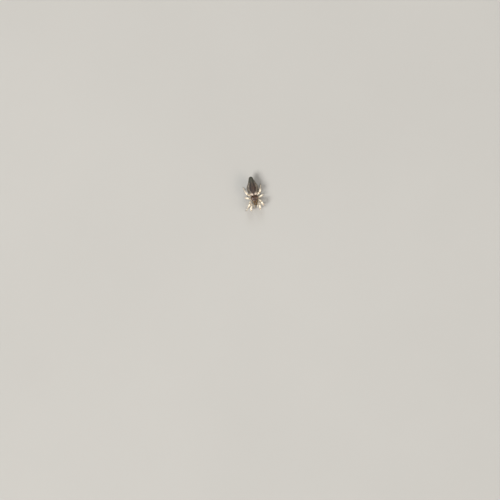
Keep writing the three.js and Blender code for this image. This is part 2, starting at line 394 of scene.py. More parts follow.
def raised(tree, shader, height, depth):
    """Bumps of the given depth in millimetres."""
    given = {"Height": height, "Distance": depth * MM, "Strength": 1.0}
    tree.links.new(put(tree, "ShaderNodeBump", given).outputs[0], shader.inputs["Normal"])


def grain_group():
    """Fine cell-like skin with pores, and broad unevenness under it."""
    tree, takes, out = group(
        "skin_grain",
        [("Place", "v"), ("Fineness", "f"), ("Pores", "f")],
        [("Height", "f"), ("Wear", "f")],
    )
    fine = cells(tree, takes["Place"], takes["Fineness"])
    broad = cloud(tree, takes["Place"], sums(tree, "MULTIPLY", takes["Fineness"], 0.22), 4.0)
    pores = between(tree, cells(tree, takes["Place"], takes["Pores"]), 0.0, 0.22)
    height = sums(tree, "MULTIPLY_ADD", fine, 0.35, broad)
    height = sums(tree, "MULTIPLY_ADD", pores, 0.3, height)
    tree.links.new(height, out.inputs["Height"])
    tree.links.new(between(tree, broad, 0.3, 0.7), out.inputs["Wear"])
    return tree


# The numbers noted on the points of each marked piece, which its markings follow.
BACK_NOTES = ("leaf", "heart", "along", "around", "dimple")
SHIELD_NOTES = ("groove", "socket", "head", "flank", "middle")
RING_NOTES = ("ring", "top", "spot")


def marks_group(name, notes, *more):
    """A markings group that takes the place and the noted numbers, and gives a colour."""
    takes = [("Place", "v"), *((noted.capitalize(), "f") for noted in notes)]
    return group(name, takes, [("Colour", "c"), *more])


def back_group():
    """The abdomen's markings: leaf mark, heart stripe, silver flecks, pale front, dark tail."""
    tree, takes, out = marks_group("abdomen_marks", BACK_NOTES, ("Silver", "f"))
    place, along, around = takes["Place"], takes["Along"], takes["Around"]
    wobble = cloud(tree, place, 2.6, 4.0)
    fine = cloud(tree, place, 9.0, 4.0, 0.65)
    broad = cloud(tree, place, 0.9, 2.0)
    # Flanks: grey-beige, clouded, with darker lines running down them.
    flank = tones(tree, wobble, 0.36, 0.62, "4f4a43", "776f63")
    flank = dabbed(tree, flank, between(tree, fine, 0.5, 0.72, 0.0, 0.55), "4d4440")
    waves = {"Vector": place, "Scale": 0.62, "Distortion": 5.0, "Detail": 3.0, "Detail Scale": 1.6}
    streaks = put(tree, "ShaderNodeTexWave", waves, bands_direction="Y").outputs["Fac"]
    flank = dabbed(tree, flank, between(tree, streaks, 0.62, 0.95, 0.0, 0.6), "4b4340")
    # The leaf: a dark middle field with a warm front half and scalloped, pale-edged sides.
    edge = sums(tree, "ADD", takes["Leaf"], times(tree, wobble, 0.26))
    edge = sums(tree, "SUBTRACT", edge, 0.13)
    warm = tones(tree, broad, 0.35, 0.65, "372722", "2a2120")
    field = dabbed(tree, warm, between(tree, along, 1.6, 3.0), "292725")
    field = dabbed(tree, field, between(tree, fine, 0.46, 0.66, 0.0, 0.6), "1f1a19")
    colour = blend(tree, between(tree, edge, -0.015, 0.05), flank, field)
    rim = sums(tree, "ABSOLUTE", sums(tree, "ADD", edge, 0.045))
    rim = sums(tree, "SUBTRACT", 1.0, between(tree, rim, 0.015, 0.055))
    rim = times(tree, rim, between(tree, fine, 0.4, 0.62), between(tree, along, 3.6, 2.9), 0.8)
    colour = dabbed(tree, colour, rim, "bdaf99")
    # The heart stripe down the middle, dark with paler sides.
    heart = sums(tree, "ADD", takes["Heart"], times(tree, fine, 0.12))
    heart = sums(tree, "SUBTRACT", heart, 0.06)
    pale_side = sums(tree, "ABSOLUTE", sums(tree, "ADD", heart, 0.06))
    pale_side = sums(tree, "SUBTRACT", 1.0, between(tree, pale_side, 0.01, 0.07))
    pale_side = times(tree, pale_side, between(tree, wobble, 0.36, 0.56, 0.1, 0.7))
    colour = dabbed(tree, colour, pale_side, "7d6854")
    colour = dabbed(tree, colour, between(tree, heart, -0.01, 0.05, 0.0, 0.85), "241e1f")
    # Silver flecks lying under the skin, thick at the shoulders and the top of the flanks.
    astray = put(tree, "ShaderNodeTexNoise", {"Vector": place, "Scale": 7.0}).outputs["Color"]
    shifted = put(tree, "ShaderNodeVectorMath", {0: astray, 3: 0.16}, operation="SCALE").outputs[0]
    shifted = put(tree, "ShaderNodeVectorMath", {0: shifted, 1: place}, operation="ADD").outputs[0]
    fleck = cells(tree, shifted, 13.0)
    limit = times(
        tree,
        between(tree, cloud(tree, place, 1.5, 3.0), 0.4, 0.7, 0.12, 1.0),
        between(tree, edge, 0.1, -0.12, 0.12, 1.0),
        between(tree, around, 2.2, 1.5),
        between(tree, along, 3.6, 2.4, 0.25, 1.0),
        0.5,
    )
    silver = between(tree, sums(tree, "SUBTRACT", limit, fleck), 0.0, 0.12)
    colour = dabbed(tree, colour, times(tree, silver, 0.7), "c8bfae")
    colour = dabbed(tree, colour, between(tree, takes["Dimple"], 0.25, 0.75, 0.0, 0.85), "2a2120")
    # The pale pinkish front edge, in two patches either side of the middle.
    patch = sums(tree, "ADD", along, times(tree, wobble, 0.9))
    patch = times(
        tree,
        between(tree, patch, 0.94, 0.52),
        between(tree, around, 1.7, 1.25),
        between(tree, heart, -0.02, -0.3, 0.12, 1.0),
        between(tree, fine, 0.34, 0.5, 0.5, 1.0),
        0.92,
    )
    colour = dabbed(tree, colour, patch, "e9d8ca")
    # The tail: dark olive grey, lighter at its very end.
    tail = between(tree, sums(tree, "ADD", along, times(tree, wobble, 0.6)), 2.9, 3.7)
    olive = tones(tree, fine, 0.42, 0.64, "42443b", "292b26")
    colour = blend(tree, times(tree, tail, 0.85), colour, olive)
    # The belly: near black.
    under = between(tree, sums(tree, "ADD", around, times(tree, wobble, 0.7)), 2.45, 2.8)
    under = times(tree, under, between(tree, along, 3.4, 2.9))
    colour = blend(tree, under, colour, tones(tree, fine, 0.4, 0.62, "332a27", "211b1a"))
    feed(tree, out, Colour=colour, Silver=silver)
    return tree


def shield_group():
    """The head shield's colours: dark brown behind, amber olive head, darkest in the grooves."""
    tree, takes, out = marks_group("shield_marks", SHIELD_NOTES)
    place = takes["Place"]
    wobble = cloud(tree, place, 3.2, 4.0)
    fine = cloud(tree, place, 13.0, 4.0, 0.6)
    rear = tones(tree, wobble, 0.36, 0.64, "543b2f", "3d2a26")
    sides = sums(tree, "ADD", takes["Flank"], times(tree, wobble, 0.3))
    rear = dabbed(tree, rear, between(tree, sides, 0.65, 1.1), "6e503c")
    head = tones(tree, wobble, 0.38, 0.62, "7b5f36", "594227")
    line = added(tree, 0.3, fine, takes["Middle"])
    head = dabbed(tree, head, between(tree, line, 0.45, 0.95, 0.0, 0.9), "432d1d")
    front = sums(tree, "ADD", takes["Head"], times(tree, fine, 0.18))
    colour = blend(tree, between(tree, front, 0.3, 0.9), rear, head)
    colour = dabbed(tree, colour, between(tree, fine, 0.52, 0.72, 0.0, 0.4), "33231e")
    colour = dabbed(tree, colour, between(tree, takes["Groove"], 0.15, 0.9), "2b1d1a")
    colour = dabbed(tree, colour, between(tree, takes["Socket"], 0.35, 0.75), "120c0a")
    feed(tree, out, Colour=colour)
    return tree


def rings_group():
    """Pale legs with brown rings whose edges are ragged."""
    tree, takes, out = marks_group("leg_rings", RING_NOTES)
    place, ring = takes["Place"], takes["Ring"]
    wobble = cloud(tree, place, 5.0, 3.0)
    fine = cloud(tree, place, 16.0, 3.0, 0.65)
    pale = tones(tree, wobble, 0.35, 0.65, "f6f0e2", "ecdfc6")
    pale = dabbed(tree, pale, between(tree, fine, 0.52, 0.72, 0.0, 0.5), "fcf8ee")
    dusk = added(tree, 0.8, wobble, takes["Top"])
    pale = dabbed(tree, pale, between(tree, dusk, 0.6, 1.5, 0.0, 0.14), "e0cba6")
    ragged = sums(tree, "SUBTRACT", added(tree, 0.5, wobble, ring), 0.25)
    brown = tones(tree, fine, 0.4, 0.66, "8a6a4e", "62462f")
    specks = between(tree, cells(tree, place, 7.0), 0.16, 0.08, 0.0, 0.7)
    specks = times(tree, specks, between(tree, ring, 0.0, 0.35, 0.35, 1.0))
    colour = dabbed(tree, pale, specks, "a5835c")
    colour = blend(tree, between(tree, ragged, 0.38, 0.62), colour, brown)
    spot = added(tree, 0.5, fine, takes["Spot"])
    colour = dabbed(tree, colour, between(tree, spot, 0.65, 0.95, 0.0, 0.9), "6b4a33")
    feed(tree, out, Colour=colour)
    return tree


def shell_group():
    """Hard brown shell: two tones clouded together, with darker flecks."""
    takes_in = [("Place", "v"), ("Dark", "c"), ("Light", "c")]
    tree, takes, out = group("shell_tones", takes_in, [("Colour", "c")])
    wobble = cloud(tree, takes["Place"], 4.0, 4.0)
    fine = cloud(tree, takes["Place"], 18.0, 3.0)
    colour = blend(tree, between(tree, wobble, 0.34, 0.66), takes["Dark"], takes["Light"])
    colour = dabbed(tree, colour, between(tree, fine, 0.54, 0.74, 0.0, 0.5), "241a17")
    feed(tree, out, Colour=colour)
    return tree


def hair_group():
    """A hair's colour: brown or pale by its tone, mixed with the colour under it."""
    takes_in = [("Under", "c"), ("Pale", "c"), ("Tone", "f"), ("Share", "f")]
    tree, takes, out = group("hair_tones", takes_in, [("Colour", "c")])
    own = blend(tree, between(tree, takes["Tone"], 0.25, 0.6), hue("6b5140"), takes["Pale"])
    feed(tree, out, Colour=blend(tree, takes["Share"], takes["Under"], own))
    return tree


GRAIN = grain_group()
BACK = back_group()
SHIELD = shield_group()
RINGS = rings_group()
SHELL = shell_group()
HAIR = hair_group()


def marked(tree, made, place, notes):
    """What a markings group gives, fed by the numbers noted on the piece."""
    return use(tree, made, Place=place, **{name.capitalize(): read(tree, name) for name in notes})


def grained(tree, shader, place, fineness, pores, rough, depth):
    """Fine skin grain, which roughens the surface and raises it."""
    grain = use(tree, GRAIN, Place=place, Fineness=fineness, Pores=pores)
    feed(tree, shader, Roughness=between(tree, grain["Wear"], 0.0, 1.0, *rough))
    raised(tree, shader, grain["Height"], depth)


def abdomen_finish():
    """Soft marked skin, smoother and raised where silver lies under it."""
    material, tree, shader, place = blank("abdomen_skin", Specular_IOR_Level=0.36)
    marks = marked(tree, BACK, place, BACK_NOTES)
    grain = use(tree, GRAIN, Place=place, Fineness=26.0, Pores=9.0)
    rough = between(tree, grain["Wear"], 0.0, 1.0, 0.54, 0.68)
    rough = sums(tree, "SUBTRACT", rough, times(tree, marks["Silver"], 0.14))
    feed(tree, shader, Base_Color=marks["Colour"], Roughness=rough)
    raised(tree, shader, added(tree, 0.25, marks["Silver"], grain["Height"]), 0.016)
    return material


def marked_shell(name, made, notes, fineness, pores, rough, depth, **plain):
    """Hard shell with markings, over fine grain."""
    material, tree, shader, place = blank(name, **plain)
    feed(tree, shader, Base_Color=marked(tree, made, place, notes)["Colour"])
    grained(tree, shader, place, fineness, pores, rough, depth)
    return material


def shell_finish(name, dark, light, rough, depth, coat=0.2):
    """Hard brown shell for the small parts, over fine grain."""
    material, tree, shader, place = blank(name, Coat_Weight=coat, Coat_Roughness=0.22)
    brown = use(tree, SHELL, Place=place, Dark=hue(dark), Light=hue(light))
    feed(tree, shader, Base_Color=brown["Colour"])
    grained(tree, shader, place, 30.0, 10.0, (rough - 0.06, rough + 0.1), depth)
    return material


def clouded_finish(name, clouds, span, pair, rough, folds=None, **plain):
    """Two tones clouded together. Folds, where given, roughen and raise the surface."""
    material, tree, shader, place = blank(name, **plain)
    shade = cloud(tree, place, *clouds)
    lines = cloud(tree, place, *folds) if folds else shade
    colour = tones(tree, shade, *span, *pair)
    feed(tree, shader, Base_Color=colour, Roughness=between(tree, lines, 0.2, 0.8, *rough))
    if folds:
        raised(tree, shader, lines, 0.012)
    return material


def tinted_hair(name, pale, share, made=None, notes=()):
    """Fine hairs that take the colour under them, mixed with their own pale or brown."""
    material, tree, shader, place = blank(name, Roughness=0.5, Specular_IOR_Level=0.35)
    beneath = marked(tree, made, place, notes)["Colour"] if made else hue("5a4434")
    tone = read(tree, "tone")
    hair = use(tree, HAIR, Under=beneath, Pale=hue(pale), Tone=tone, Share=share)
    feed(tree, shader, Base_Color=hair["Colour"])
    return material


ABDOMEN_SKIN = abdomen_finish()
HEAD_SHIELD = marked_shell(
    "head_shield", SHIELD, SHIELD_NOTES, 34.0, 12.0, (0.3, 0.46), 0.009,
    Coat_Weight=0.25, Coat_Roughness=0.25, Specular_IOR_Level=0.5,
)
LEG_SHELL = marked_shell(
    "leg_shell", RINGS, RING_NOTES, 30.0, 11.0, (0.36, 0.52), 0.008, Specular_IOR_Level=0.45
)
JAW_SHELL = shell_finish("jaw_shell", "4d3325", "6e4b32", 0.3, 0.007)
MOUTH_SHELL = shell_finish("mouth_shell", "3d2a22", "5c4030", 0.38, 0.008)
BREAST_SHELL = shell_finish("breast_shell", "2e221d", "4b372b", 0.36, 0.009)
SPINNERET_SKIN = shell_finish("spinneret_skin", "3b2c23", "624b39", 0.45, 0.008, coat=0.0)
WAIST_SKIN = shell_finish("waist_skin", "4a3a30", "70594a", 0.5, 0.01, coat=0.0)
FANG_HORN = shell_finish("fang_horn", "1d100b", "46200f", 0.16, 0.002, coat=0.8)
EYE_LENS = clouded_finish(
    "eye_lens", (12.0, 2.0), (0.4, 0.65), ("0b0806", "24150c"), (0.05, 0.12),
    Coat_Weight=1.0, Coat_Roughness=0.03, IOR=1.5,
)
SPINE_HORN = clouded_finish(
    "spine_horn", (14.0, 3.0), (0.35, 0.65), ("4a3020", "6f4d31"), (0.28, 0.42),
    Coat_Weight=0.3, Coat_Roughness=0.2,
)
JOINT_SKIN = clouded_finish(
    "joint_skin", (9.0, 4.0), (0.35, 0.65), ("e2d5b8", "c9b691"), (0.5, 0.66),
    folds=(30.0, 2.0), Specular_IOR_Level=0.4,
)
BACK_HAIR = tinted_hair("back_hair", "a09684", 0.28, BACK, BACK_NOTES)
SHIELD_HAIR = tinted_hair("shield_hair", "d9c596", 0.5, SHIELD, SHIELD_NOTES)
LEG_HAIR = tinted_hair("leg_hair", "f6f0e2", 0.4, RINGS, RING_NOTES)
DARK_HAIR = tinted_hair("dark_hair", "a08a70", 0.7)


# ---------------------------------------------------------------- hairs

# A hair is three rings of three points and a tip. Where its rings lie along it, and how thick it
# is there.
HAIR_RINGS = (-0.04, 0.36, 0.74)
HAIR_GIRTHS = (1.0, 0.85, 0.5)
HAIR_POINTS = 10
HAIR_TIP = 9
ROUND = ((0, 1), (1, 2), (2, 0))
HAIR_FACES = [[2, 1, 0]]
HAIR_FACES += [[r + a, r + b, r + 3 + b, r + 3 + a] for r in (0, 3) for a, b in ROUND]
HAIR_FACES += [[6 + a, 6 + b, HAIR_TIP] for a, b in ROUND]
# Each hair's own patch on the map, in shares of the map.
PATCH = 0.003
CLEAR_OF_FLOOR = 0.004
# The steepest that a hair stands, in radians.
STEEPEST = 1.3


def scattered(piece, count, chance, density=None):
    """Even random places on a piece, their normals, and the corners they lie between."""
    mesh = piece.data
    mesh.calc_loop_triangles()
    corners = np.empty(len(mesh.loop_triangles) * 3, np.int32)
    mesh.loop_triangles.foreach_get("vertices", corners)
    corners = corners.reshape(-1, 3)
    points, normals = points_of(piece), normals_of(piece)
    a, b, c = (points[corners[:, k]] for k in range(3))
    weight = np.linalg.norm(np.cross(b - a, c - a), axis=1)
    if density is not None:
        weight = weight * density((a + b + c) / 3, normals[corners].mean(1))
    total = np.cumsum(weight)
    aim = (np.arange(count) + chance.random(count)) / count * total[-1]
    face = np.searchsorted(total, aim).clip(0, len(corners) - 1)
    u, v = chance.random(count), chance.random(count)
    fold = u + v > 1
    u, v = np.where(fold, 1 - u, u), np.where(fold, 1 - v, v)
    share = np.stack([1 - u - v, u, v], 1)
    spot = corners[face]
    roots = (points[spot] * share[:, :, None]).sum(1)
    out = (normals[spot] * share[:, :, None]).sum(1)
    out /= np.linalg.norm(out, axis=1, keepdims=True)
    return roots, out, spot, share


def carried(piece, name, spot, share):
    """A noted number of the piece, read at the hairs' roots."""
    marks = piece.data.attributes[name].data
    found = np.empty(len(marks), np.float32)
    marks.foreach_get("value", found)
    return (found[spot] * share).sum(1)


def hair_parts(roots, out, flow, lengths, girths, lifts, chance, stray=0.25):
    """Points of tapering three-sided hairs that rise from the roots and lean along the flow."""
    flow = flow + chance.normal(scale=stray, size=flow.shape)
    flow = flow - (flow * out).sum(1, keepdims=True) * out
    flow /= np.linalg.norm(flow, axis=1, keepdims=True)
    side = np.cross(out, flow)
    rise, run = np.sin(lifts), np.cos(lifts)
    points = np.empty((len(roots), HAIR_POINTS, 3))
    for ring, (at, girth) in enumerate(zip(HAIR_RINGS, HAIR_GIRTHS)):
        middle = roots + flow * (lengths * run * at)[:, None]
        middle = middle + out * (lengths * rise * (at - 0.42 * at * abs(at)))[:, None]
        for corner in range(3):
            turn = corner * 2 * math.pi / 3 + math.pi / 2
            spoke = side * math.cos(turn) + out * math.sin(turn)
            points[:, ring * 3 + corner] = middle + spoke * (girths * girth)[:, None]
    tips = roots + flow * (lengths * run)[:, None]
    points[:, HAIR_TIP] = tips + out * (lengths * rise * 0.58)[:, None]
    return points


def hair_piece(name, batches):
    """One mesh of many hairs, from batches of points, places on the skin's map, and notes."""
    points = np.concatenate([batch["points"] for batch in batches])
    unwrap = np.concatenate([batch["map"] for batch in batches])
    notes = {
        key: np.concatenate([batch["notes"][key] for batch in batches])
        for key in batches[0]["notes"]
    }
    clear = points[:, :, 2].min(1) > CLEAR_OF_FLOOR
    points, unwrap = points[clear], unwrap[clear]
    count = len(points)
    corners = np.array([corner for face in HAIR_FACES for corner in face])
    sizes = np.array([len(face) for face in HAIR_FACES])
    loops = (corners[None, :] + HAIR_POINTS * np.arange(count)[:, None]).ravel()
    mesh = bpy.data.meshes.new(name)
    mesh.vertices.add(count * HAIR_POINTS)
    mesh.vertices.foreach_set("co", points.astype(np.float32).ravel())
    mesh.loops.add(len(loops))
    mesh.loops.foreach_set("vertex_index", loops.astype(np.int32))
    mesh.polygons.add(count * len(HAIR_FACES))
    starts = np.concatenate([[0], np.cumsum(np.tile(sizes, count))[:-1]])
    mesh.polygons.foreach_set("loop_start", starts.astype(np.int32))
    mesh.update(calc_edges=True)
    mesh.shade_smooth()
    within = np.zeros((HAIR_POINTS, 2))
    for ring in range(3):
        for corner in range(3):
            within[ring * 3 + corner] = (corner / 2 * PATCH, ring / 3 * PATCH)
    within[HAIR_TIP] = (PATCH / 2, PATCH)
    layer = mesh.uv_layers.new(name="OFBake", do_init=False)
    spots = unwrap[:, None, :] + within[corners][None, :, :]
    layer.uv.foreach_set("vector", spots.astype(np.float32).ravel())
    piece = bpy.data.objects.new(name, mesh)
    bpy.context.scene.collection.objects.link(piece)
    for key, values in notes.items():
        note(piece, key, np.repeat(values[clear], HAIR_POINTS))
    return piece


def hair_map(turn, along):
    """A place on the map, from a turn in radians round the skin and a share along it."""
    return np.stack([turn / 2 / math.pi + 0.5, along], 1) * 0.99


def coat(skin, coats, chance, grows, flow_at, map_at, kept, spans, leans, palest=0.0):
    """A skin's hairs. Each coat is how many there are, their length, half thickness and lift."""
    batches = []
    for count, length, girth, lift in coats:
        roots, out, spot, share = scattered(skin, count, chance, grows)
        lengths = length * chance.uniform(*spans, count)
        lifts = np.clip(chance.normal(lift, leans[0], count), leans[1], STEEPEST)
        girths = girth * chance.uniform(0.8, 1.2, count)
        points = hair_parts(roots, out, flow_at(roots), lengths, girths, lifts, chance)
        notes = {key: carried(skin, key, spot, share) for key in kept}
        notes["tone"] = palest + (1 - palest) * chance.random(count)
        batches.append({"points": points, "map": map_at(roots), "notes": notes})
    return hair_piece(skin.name.removesuffix("_skin") + "_hairs", batches)


def plain_hairs(piece, count, length, lift, flow, chance, grows, girth=0.0045):
    """Short hairs on a small hard part, all one kind."""
    roots, out, _, _ = scattered(piece, count, chance, grows)
    lengths = length * chance.uniform(0.6, 1.35, count)
    lifts = np.clip(chance.normal(lift, 0.15, count), 0.1, STEEPEST)
    flows = np.tile(np.array(flow, float), (count, 1))
    points = hair_parts(roots, out, flows, lengths, np.full(count, girth), lifts, chance)
    low, high = roots.min(0), roots.max(0)
    share = (roots - low) / (high - low)
    unwrap = hair_map(np.arctan2(share[:, 0] - 0.5, share[:, 1] - 0.5), share[:, 2])
    notes = {"tone": chance.random(count)}
    return hair_piece(piece.name + "_hairs", [{"points": points, "map": unwrap, "notes": notes}])


# ---------------------------------------------------------------- abdomen

# Stations along the abdomen, a coat's depth inside the solid: along, half width, top, bottom.
ABDOMEN_STATIONS = (
    (-0.19, 0.2, 2.27, 1.93),
    (-0.13, 0.48, 2.42, 1.72),
    (0.1, 0.88, 2.69, 1.25),
    (0.5, 1.2, 2.88, 0.74),
    (1.1, 1.43, 3.01, 0.4),
    (1.7, 1.44, 3.04, 0.32),
    (2.2, 1.29, 2.99, 0.46),
    (2.62, 1.05, 2.92, 0.88),
    (3.0, 0.83, 2.86, 1.27),
    (3.45, 0.65, 2.8, 1.61),
    (3.95, 0.51, 2.73, 1.86),
    (4.25, 0.37, 2.64, 1.99),
    (4.38, 0.2, 2.52, 2.14),
)
# Where the mound that carries the silk tubes lies.
MOUND_ALONG = 2.46
# Muscle dimples on each side of the back: distance from the middle round the skin, place along,
# reach.
DIMPLES = (
    (0.34, 0.72, 0.07), (0.5, 1.22, 0.085), (0.45, 1.72, 0.07), (0.35, 2.18, 0.06),
    (0.27, 2.6, 0.045),
)
# How far the leaf mark and the heart stripe reach from the middle, along the back.
LEAF_REACH = (
    (-0.2, 0.2), (0.35, 0.38), (0.8, 0.7), (1.3, 0.92), (1.8, 0.9), (2.3, 0.72), (2.8, 0.6),
    (3.4, 0.55), (4.4, 0.5),
)
HEART_REACH = (
    (-0.2, 0.06), (0.1, 0.12), (0.45, 0.16), (0.8, 0.09), (1.1, 0.16), (1.5, 0.07), (1.8, 0.13),
    (2.2, 0.04), (2.5, 0.1), (2.9, 0.02), (4.4, -0.1),
)
# Hairs of the abdomen, short ones and bristles: how many, length, half thickness, lift.
BACK_COATS = ((8600, 0.085, 0.0038, 0.3), (640, 0.19, 0.005, 0.72))


def middle_height(along):
    rows = np.array(ABDOMEN_STATIONS)
    return np.interp(along, rows[:, 0], (rows[:, 2] + rows[:, 3]) / 2)


def half_girth(along):
    rows = np.array(ABDOMEN_STATIONS)
    return np.interp(along, rows[:, 0], (rows[:, 1] + (rows[:, 2] - rows[:, 3]) / 2) / 2)


def angle_round(points):
    """How far round from the top of the back, from 0 to pi, and signed."""
    signed = np.arctan2(points[:, 0], points[:, 2] - middle_height(points[:, 1]))
    return np.abs(signed), signed


def made_abdomen():
    """The abdomen's skin with its swellings, dimples, folds, lung covers and spinneret mound."""
    piece = shaped("abdomen_skin", 28, ABDOMEN_STATIONS, 4)
    points = points_of(piece)
    x, y = points[:, 0], points[:, 1]
    around, signed = angle_round(points)
    arc = around * half_girth(y)
    push = np.zeros(len(points))
    # Shoulders: a low swelling each side of the front.
    push += 0.05 * hill(np.hypot(arc - 0.85, y - 0.62), 0.4)
    # A shallow hollow down the middle of the back, over the heart.
    push -= 0.035 * hill(arc, 0.16) * step(0.1, 0.5, y) * step(2.7, 1.9, y)
    # Pairs of dimples where muscles hold the skin.
    dimple = np.zeros(len(points))
    for across, along, reach in DIMPLES:
        distance = np.hypot(arc - across, y - along)
        push -= 0.06 * hill(distance, reach)
        push += 0.016 * hill(distance - reach * 1.7, reach * 0.6)
        dimple = np.maximum(dimple, hill(distance, reach * 0.75))
    # Soft folds: fine across the back, coarser round the tail and behind the spinnerets.
    wander = ripple(points, 1.1, 3)
    lines = np.sin(2 * math.pi * (y + 0.05 * wander) / 0.19 + 0.8 * wander)
    push += 0.008 * lines * step(0.9, 1.5, around) * step(2.9, 2.3, around)
    folds = np.sin(2 * math.pi * (y + 0.1 * wander + 0.06 * np.cos(2 * signed)) / 0.27)
    tail = step(2.6, 3.2, y) * step(4.4, 4.1, y)
    push += 0.016 * folds * tail * (0.35 + 0.65 * step(0.6, 2.0, around))
    # Uneven fullness everywhere, large and small.
    push += 0.016 * ripple(points, 0.9, 11) + 0.007 * ripple(points, 0.34, 12)
    push += 0.0028 * ripple(points, 0.13, 13)
    # Under the front: smooth lung covers, and the furrow behind them.
    under = step(2.1, 2.5, around)
    push += 0.04 * hill(np.hypot(np.abs(x) - 0.5, y - 0.5), 0.26) * under
    furrow = 0.86 + 0.1 * np.abs(x)
    push -= 0.06 * hill(y - furrow, 0.045) * under * step(1.2, 0.8, np.abs(x))
    # A low mound ringed by folds, on which the spinnerets stand.
    mound = np.hypot(x, y - MOUND_ALONG)
    push += under * (0.05 * hill(mound, 0.3) - 0.035 * hill(mound - 0.42, 0.06))
    rings = np.sin(mound / 0.1 * 2 * math.pi) * step(0.4, 0.5, mound) * step(0.95, 0.6, mound)
    push += under * 0.014 * rings
    swollen(piece, push)
    note_back(piece)
    note(piece, "dimple", dimple)
    return piece


def note_back(piece):
    """Notes what the markings follow: leaf mark, heart stripe, and the place along and round."""
    points = points_of(piece)
    y = points[:, 1]
    around, _ = angle_round(points)
    arc = around * half_girth(y)
    leaf, heart = np.array(LEAF_REACH), np.array(HEART_REACH)
    lobes = 0.11 * np.abs(np.sin(math.pi * (y - 0.15) / 0.52)) - 0.05
    note(piece, "leaf", np.interp(y, leaf[:, 0], leaf[:, 1]) + lobes - arc)
    note(piece, "heart", np.interp(y, heart[:, 0], heart[:, 1]) - arc)
    note(piece, "along", y)
    note(piece, "around", around)


def made_back_hair(skin):
    """The abdomen's coat, swept back, thicker at its front edge and on the tail."""
    def grows(points, normals):
        return 0.75 + 0.5 * step(2.4, 4.2, points[:, 1]) + 0.4 * step(0.4, 0.0, points[:, 1])

    def flow_at(roots):
        return np.tile((0.0, 1.0, -0.12), (len(roots), 1))

    def map_at(roots):
        return hair_map(angle_round(roots)[1], (roots[:, 1] + 0.3) / 4.9)

    chance = np.random.default_rng(21)
    ways = (chance, grows, flow_at, map_at, BACK_NOTES)
    return coat(skin, BACK_COATS, *ways, spans=(0.65, 1.35), leans=(0.16, 0.12))


# ---------------------------------------------------------------- head shield

# Stations along the head shield: along, half width, top, bottom.
CARAPACE_STATIONS = (
    (0.02, 0.24, 1.44, 1.24),
    (-0.18, 0.6, 1.62, 1.16),
    (-0.5, 0.9, 1.83, 1.14),
    (-0.84, 0.97, 1.9, 1.14),
    (-1.14, 0.86, 1.87, 1.14),
    (-1.4, 0.62, 1.84, 1.16),
    (-1.64, 0.46, 1.9, 1.18),
    (-1.9, 0.42, 1.97, 1.2),
    (-2.16, 0.41, 2.0, 1.24),
    (-2.38, 0.37, 1.93, 1.34),
    (-2.48, 0.24, 1.82, 1.46),
)
SHIELD_COATS = ((1700, 0.1, 0.0045, 0.4), (160, 0.2, 0.006, 0.9))
# Where the pit in the middle of the shield lies.
PIT_ALONG = -0.88
# The eyes look away from this point.
HEAD_MIDDLE = Vector((0, -2.02, 1.6))


def eye_places():
    """Each eye's centre and radius, from its solid."""
    found = {}
    for row in ("front_median", "rear_median", "front_lateral", "rear_lateral"):
        for side_name in ("left", "right"):
            name = f"eye_{row}_{side_name}"
            low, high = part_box(name)
            found[name] = (OUT_OF_FRAME @ ((low + high) / 2), max(high - low) / 2 / MM)
    return found


def distance_to(points, centre):
    return np.linalg.norm(points - np.array(centre), axis=1)


def made_carapace(eyes):
    """The head shield with its grooves, pit, rim, eye swellings and sockets."""
    piece = shaped("head_shield", 28, CARAPACE_STATIONS, 4)
    points = points_of(piece)
    x, y, z = points.T
    side = np.abs(x)
    top = step(1.4, 1.6, z)
    push = np.zeros(len(points))
    # The groove behind the head runs from its sides back to the pit in the middle.
    groove_line = -0.98 - 0.5 * np.clip(side / 0.62, 0, 1.2) ** 1.4
    groove = hill(y - groove_line, 0.06 + 0.03 * side) * top * step(0.86, 0.55, side)
    push -= 0.07 * groove
    # The pit, and shallow furrows fanning out from it to the legs.
    pit = hill(np.hypot(x / 0.6, y - PIT_ALONG), 0.1)
    push -= 0.09 * pit
    turn = np.arctan2(side, PIT_ALONG - y)
    reach = np.hypot(x, y - PIT_ALONG)
    fan = np.zeros(len(points))
    for angle in (1.15, 1.62, 2.1, 2.6):
        fan += hill((turn - angle) * reach, 0.05) * step(0.2, 0.36, reach) * step(0.95, 0.7, reach)
    push -= 0.03 * fan * top
    # A rolled rim along the lower edge.
    push += 0.03 * hill(z - 1.22, 0.045) * step(-1.9, -1.5, y)
    push -= 0.02 * hill(z - 1.31, 0.04) * step(-1.9, -1.5, y)
    # Low swellings that carry the eyes, and a socket round each lens.
    socket = np.zeros(len(points))
    for centre, radius in eyes.values():
        distance = distance_to(points, centre)
        push += 0.035 * hill(distance, radius * 1.9)
        push -= 0.022 * hill(distance - radius * 1.12, radius * 0.2)
        beyond = np.maximum(distance - radius * 1.05, 0)
        socket = np.maximum(socket, hill(beyond, radius * 0.42))
    push += 0.008 * ripple(points, 0.5, 31) + 0.003 * ripple(points, 0.16, 32)
    swollen(piece, push)
    note(piece, "groove", np.clip(groove + pit + 0.5 * fan * top, 0, 1))
    note(piece, "socket", socket)
    note(piece, "head", step(-1.1, -1.6, y + 0.3 * side))
    note(piece, "middle", step(0.36, 0.18, side) * step(-2.26, -2.1, y))
    note(piece, "flank", step(0.35, 0.9, side) * step(-1.6, -1.2, y))
    return piece


